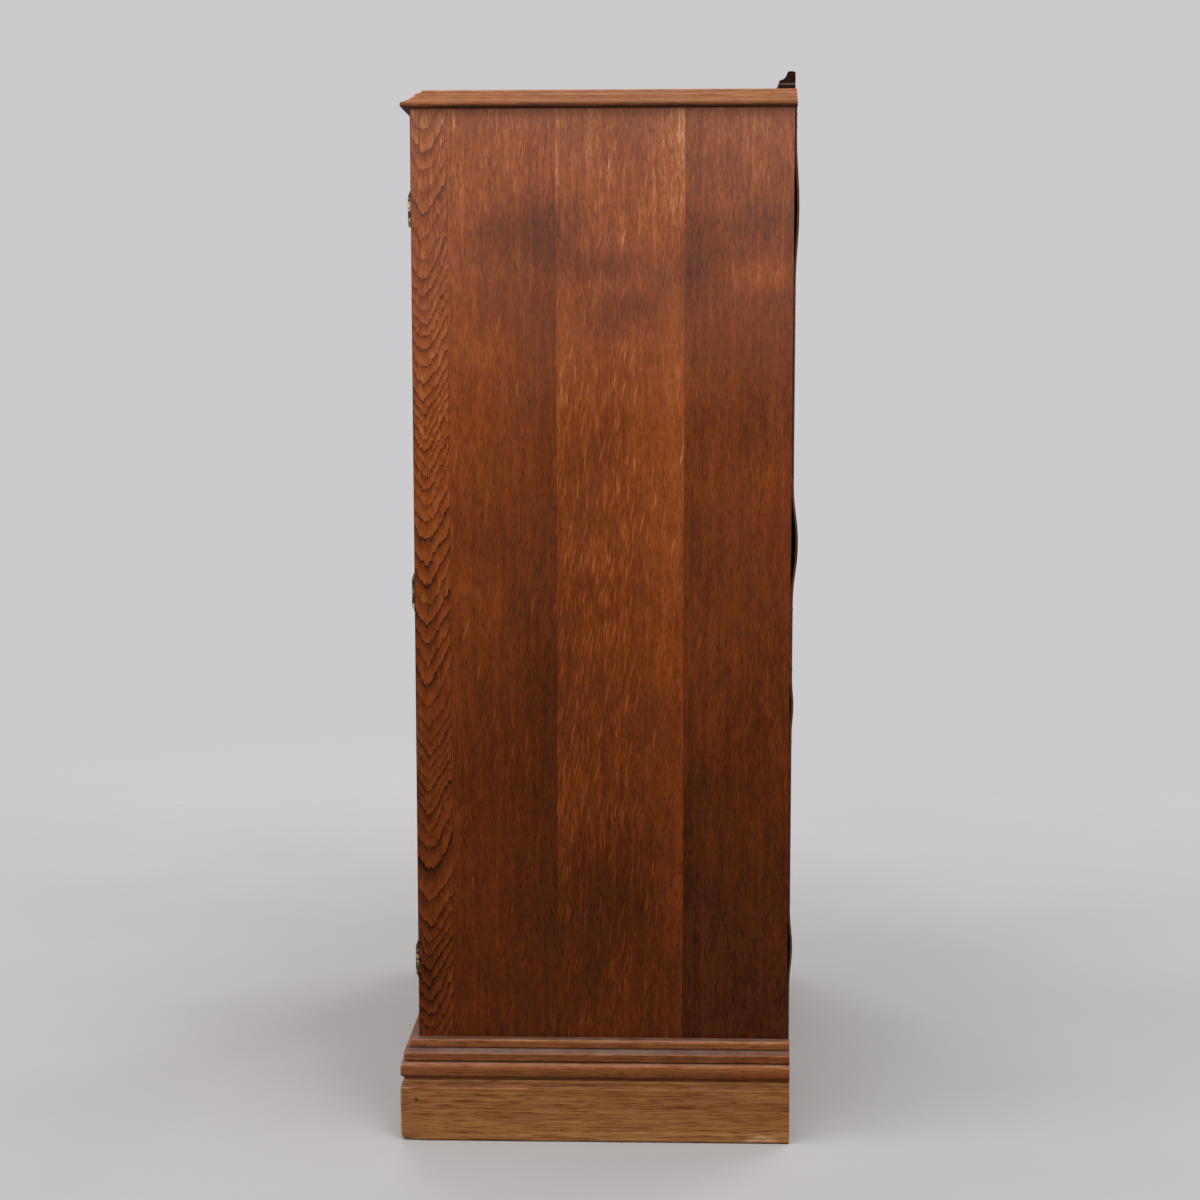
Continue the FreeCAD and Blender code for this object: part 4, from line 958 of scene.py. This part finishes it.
def layRuns(kind, look):
    materials = [runOak(f"{kind} oak", look), squaredOak(f"{kind} end", dict(look, **look["end"]))]
    word = kind.replace(" ", "_")
    for side, (corners, mitred) in baseRuns.items():
        piece = sweep(f"{word}_{side}_run", look, corners, mitred)
        standIn(piece, f"{word}_{side}", materials)
    print(f"{kind}:", len(baseRuns), "runs")


layRuns("plinth", plinth)
layRuns("base moulding", baseMoulding)


# moulded top
topBoard = dict(
    sweptOak,
    inset=0.030,  # from the carcass to the section's own zero
    foot=topUnderside,
    section=[
        (0, 0), (39.2, 0), (43, 3.8, 3.8, 1), (43, 4.8), (39.2, 8.6, 3.8, 1), (22.6, 21.5, 46, -1),
        (16.9, 23.7), (14.7, 27), (8, 27),
    ],
    skin=0.010,
    uneven=0.0004,
    cornerWear=0.0008,
    shift=(0.9, 0.1, 0.2),
    stain=baseMoulding["stain"],
    tone=0.68,
    # (height, height where it is full, change of tone): a painted highlight on the hollow above the nose, and
    # painted shade on the nose and its underside
    bands=[(0.0130, 0.0098, 0.09), (0.0096, 0.0074, -0.28), (0.0050, 0.0014, -0.30)],
    dust=0.12,
    stretch=0.5,
    streaks=0.34,
    rings=0.20,
    pores=0.16,
    blotches=0.24,
    pith=(0.04, -0.05),
    tilt=0.02,
    ringWidth=0.0035,
    dirtAndShade=0.5,
    dirtAndShadeColour=shade(60, 36, 24),
    gloss=0.4,
    end=dict(sawnEnd, tone=0.32),
)
topFlat = dict(
    plainOak, along="X", shift=(0.2, 0.4, 0.6), stain=baseMoulding["stain"], tone=0.56, rings=0.16,
    pith=(0.1, 0.07), gloss=0.35, ringWidth=0.004,
)
topSide, topFront = halfWidth - topBoard["inset"], frontY + topBoard["inset"]
topRun = [(-topSide, backY), (-topSide, topFront), (topSide, topFront), (topSide, backY)]
piece = sweep("moulded_top_board", topBoard, topRun, (False, False), closed=False)
topMaterials = [
    runOak("top edge oak", topBoard),
    squaredOak("top end", dict(topBoard, **topBoard["end"])),
    squaredOak("top flat oak", topFlat),
]
standIn(piece, "moulded_top", topMaterials)
print("top: one board,", len(piece.data.polygons), "faces")


# upstand
upstandLow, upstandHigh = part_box("rear_upstand")
upstand = dict(
    sweptOak,
    foot=topFace,
    section=[
        (0, 0), (23.5, 0), (23.5, 7.5), (18.5, 12.5, 5, 1), (11.7, 20.5, 14, -1), (8.2, 24, 3.5, 1),
        (3.5, 24), (0, 20.5, 3.5, 1),
    ],
    uneven=0.0003,
    cornerWear=0.0,
    shift=(0.5, 0.6, 0.7),
    tone=0.44,
    streaks=0.22,
    wear=0.20,
    dirtAndShade=0.5,
    dirtAndShadeColour=shade(34, 24, 20),
    gloss=0.1,
    end=dict(along="X", shift=(0, 0, 0.3), tone=0.10, ringWidth=0.0018),
    toe=0.0067,  # height of a pale line across the end
    toeColour=shade(112, 108, 106),
)


def upstandEnd(name, look):
    # near-black end grain, with the pale line of the toe across it
    material, tree, shader, place = newMaterial(name)
    tone, relief = woodTone(tree, turned(tree, place, look["along"], look["shift"]), look)
    _, _, z = parts(tree, place)
    line = times(tree, lineAt(tree, z, look["foot"] + look["toe"], 0.0003, 0.0012), 0.6)
    colour = blend(tree, line, rampOf(tree, tone, stain), look["toeColour"])
    finishWood(tree, shader, place, colour, relief, look["gloss"])
    return material


upstandRun = [(upstandLow.x, upstandHigh.y), (upstandHigh.x, upstandHigh.y)]
piece = sweep("rear_upstand_run", upstand, upstandRun, (False, False))
upstandMaterials = [runOak("upstand oak", upstand), upstandEnd("upstand end", dict(upstand, **upstand["end"]))]
standIn(piece, "rear_upstand", upstandMaterials)
print("upstand: one run")


doors = dict(
    stile=dict(plainOak, tone=0.52, rings=0.12),
    rail=dict(plainOak, along="X", rings=0.12),
    panel=dict(plainOak, tone=0.56, rings=0.22, tilt=0.05, ringWidth=0.0036, wander=0.02, wear=-0.15),
    frame=("hinge_stile", "meeting_stile", "top_rail", "middle_rail", "bottom_rail"),
    toneChange=0.03,  # from board to board
    panelEasing=0.0006,
)
for side, sign in (("right", 1), ("left", -1)):
    for number, word in enumerate(doors["frame"]):
        shift = (0.37 * number, 0.21 * number + 0.1, 1.3 * number + sign)
        look = dict(doors["stile" if "stile" in word else "rail"], shift=shift)
        look["tone"] += doors["toneChange"] * math.sin(5.1 * number + sign)
        finishBoard(f"{side}_door_{word}", look)
    for number, word in enumerate(("upper_panel", "lower_panel")):
        shift = (0, 0.07 * number, 1.7 * number + 0.6 * sign)
        pith = (-0.2 * sign + 0.02 * number, 0.055 + 0.01 * number)
        look = dict(doors["panel"], shift=shift, pith=pith)
        finishBoard(f"{side}_door_{word}", look, easing=doors["panelEasing"])
print("doors: fourteen boards")


# inside, rails and back
insides = dict(
    pine=dict(
        plainOak, tone=0.60, streaks=0.14, rings=0.16, pores=0.02, blotches=0.25, pith=(0.12, 0.04), ringWidth=0.006,
        tilt=0.02, wander=0.03, gloss=0.05, wear=0.12, stain=stainOf(
            (0.00, 64, 38, 20), (0.25, 104, 68, 38), (0.50, 142, 100, 60), (0.75, 172, 130, 84),
            (1.00, 202, 166, 120),
        ),
    ),
    along={"glue_blocks": "Z", "shelf_bearers": "Y"},  # the others have their grain along X
    stained="front_top_rail",  # as the outside is
    ply=dict(
        plainOak, shift=(0, 0.4, 0.2), streaks=0.18, rings=0.20, pores=0.05, blotches=0.4, pith=(0.05, 0.06),
        tilt=0.035, ringWidth=0.006, wander=0.05, gloss=0.05, wear=-0.2,
        stain=stainOf((0.00, 22, 14, 10), (0.30, 52, 33, 21), (0.60, 84, 56, 36), (1.00, 128, 92, 62)),
    ),
)
pineNodes = [
    "front_top_rail", "rear_top_rail", "bottom_board", "front_base_rail", "rear_base_rail", "glue_blocks", "shelf_1",
    "shelf_2", "shelf_3", "shelf_4", "shelf_bearers", "door_stops",
]
for number, node in enumerate(pineNodes):
    shift = (0.3 * number, 0.17 * number, 0.9 * number)
    look = dict(insides["pine"], along=insides["along"].get(node, "X"), shift=shift)
    if node == insides["stained"]:
        look.update(tone=plainOak["tone"], stain=stain)
    finishBoard(node, look)
dress("back_panel", squaredOak("back ply", insides["ply"], "back_panel"))
print("inside:", len(pineNodes), "pieces and the back")


# brass, iron and steel
metals = dict(
    hinge=dict(
        bright=shade(236, 214, 164), dull=shade(48, 34, 20), dullness=0.98, roughness=0.22, patch=0.009, cover=0.78,
        nodes=[
            f"{side}_hinge_{word}"
            for side in ("right", "left")
            for word in ("carcass_leaves", "door_leaves", "pins")
        ],
    ),
    fitting=dict(
        bright=shade(206, 168, 96), dull=shade(84, 60, 30), dullness=0.5, roughness=0.28, patch=0.009, cover=0.5,
        nodes=[
            "right_knob", "left_knob", "escutcheon", "bolt_guides", "bolt_keepers", "upper_bolt", "lower_bolt",
            "lock_bolt", "carcass_hinge_screws", "right_door_screws", "left_door_screws",
        ],
    ),
    iron=dict(
        bright=shade(84, 79, 76), dull=shade(44, 36, 32), dullness=0.45, roughness=0.46, patch=0.02, cover=0.5,
        nodes=["lock_case", "lock_strike", "key"],
    ),
    steel=dict(
        bright=shade(120, 112, 104), dull=shade(70, 46, 32), dullness=0.9, roughness=0.5, patch=0.004, cover=0.6,
        nodes=["back_nails"],
    ),
)


def oldMetal(name, look):
    material, tree, shader, place = newMaterial(name)
    marks = use(tree, tarnish, {"Place": place, "Patch Size": look["patch"], "Cover": look["cover"]})
    dull = times(tree, marks["Tarnish"], look["dullness"])
    plug(tree, blend(tree, dull, look["bright"], look["dull"]), shader.inputs["Base Color"])
    shader.inputs["Metallic"].default_value = 1.0
    rough = plus(tree, look["roughness"], marks["Tarnish"], 0.22, marks["Scratches"], 0.08)
    plug(tree, rough, shader.inputs["Roughness"])
    emboss(tree, shader, plus(tree, marks["Tarnish"], marks["Scratches"], 0.4), 0.15, 0.0002)
    return material


for kind, look in metals.items():
    material = oldMetal(f"old {kind} metal", look)
    for node in look["nodes"]:
        dress(node, material)
print("metal:", sum(len(look["nodes"]) for look in metals.values()), "pieces")


# floor, backdrop and light
stage = dict(
    wall=(0.60, 0.59, 0.61),
    floor=(0.43, 0.42, 0.415),
    floorShader={"Roughness": 0.75, "Specular IOR Level": 0.2},
    radius=3.5,
    fade=(0.8, 3.3),  # the floor fades into the backdrop, so that no line stands behind the press
    ambient=(0.45, 0.45, 0.465),
    lamps=[  # (name, place, aimed at, size, watts)
        ("ceiling", (1.4, 0.1, 3.4), (0.45, 0.0, 0.9), 2.2, 58),
        ("window", (3.4, 1.9, 1.9), (0.4, 0.0, 0.8), 1.8, 40),
        ("room", (1.6, -3.0, 2.0), (0.0, -0.2, 0.8), 2.4, 60),
        ("behind", (-2.4, 2.6, 2.4), (0.0, 0.2, 0.8), 2.4, 70),
        ("far", (-3.2, -1.2, 1.8), (-0.4, 0.0, 0.8), 2.2, 55),
    ],
    noGlint=("behind", "far"),  # these light the back, and don't glint on what faces the camera
)


def makeFloor():
    work = bmesh.new()
    bmesh.ops.create_circle(work, cap_ends=True, segments=128, radius=stage["radius"])
    mesh = bpy.data.meshes.new("floor")
    work.to_mesh(mesh)
    work.free()
    floor = placed("floor", mesh)
    material, tree, shader, place = newMaterial("pale floor")
    tone = span(tree, cloud(tree, place, (2.2, 2.2, 2.2), 4), 0.3, 0.7, 0.97, 1.03, smooth=False)
    plug(tree, blend(tree, 1.0, (*stage["floor"], 1.0), tone, "MULTIPLY"), shader.inputs["Base Color"])
    fill(tree, shader, stage["floorShader"])
    plug(tree, span(tree, vectors(tree, "LENGTH", place), *stage["fade"], 1.0, 0.0), shader.inputs["Alpha"])
    floor.data.materials.append(material)


def makeWorld():
    world = bpy.data.worlds.new("studio")
    bpy.context.scene.world = world
    world.use_nodes = True
    tree = world.node_tree
    light = tree.nodes["Background"]
    light.inputs["Color"].default_value = (*stage["ambient"], 1.0)
    shown = newNode(tree, "Background")
    shown.inputs["Color"].default_value = (*stage["wall"], 1.0)
    path = newNode(tree, "LightPath")
    rays = [path.outputs[f"Is {kind} Ray"] for kind in ("Camera", "Glossy", "Transmission")]
    seen = maths(tree, "MAXIMUM", maths(tree, "MAXIMUM", *rays[:2]), rays[2])
    either = fed(tree, newNode(tree, "MixShader"), seen, light.outputs[0], shown.outputs[0])
    plug(tree, either, tree.nodes["World Output"].inputs["Surface"])


def makeLamps():
    for name, place, aim, size, watts in stage["lamps"]:
        lamp = bpy.data.lights.new(name, "AREA")
        lamp.shape = "SQUARE"
        lamp.size = size
        lamp.energy = watts
        holder = placed(name, lamp)
        holder.location = place
        holder.rotation_mode = "QUATERNION"
        holder.rotation_quaternion = (Vector(aim) - Vector(place)).to_track_quat("-Z", "Y")
        holder.visible_glossy = name not in stage["noGlint"]


makeCamera()
makeFloor()
makeWorld()
makeLamps()
bpy.context.scene.view_settings.view_transform = "Standard"
print("stage: floor, backdrop and", len(stage["lamps"]), "lamps")
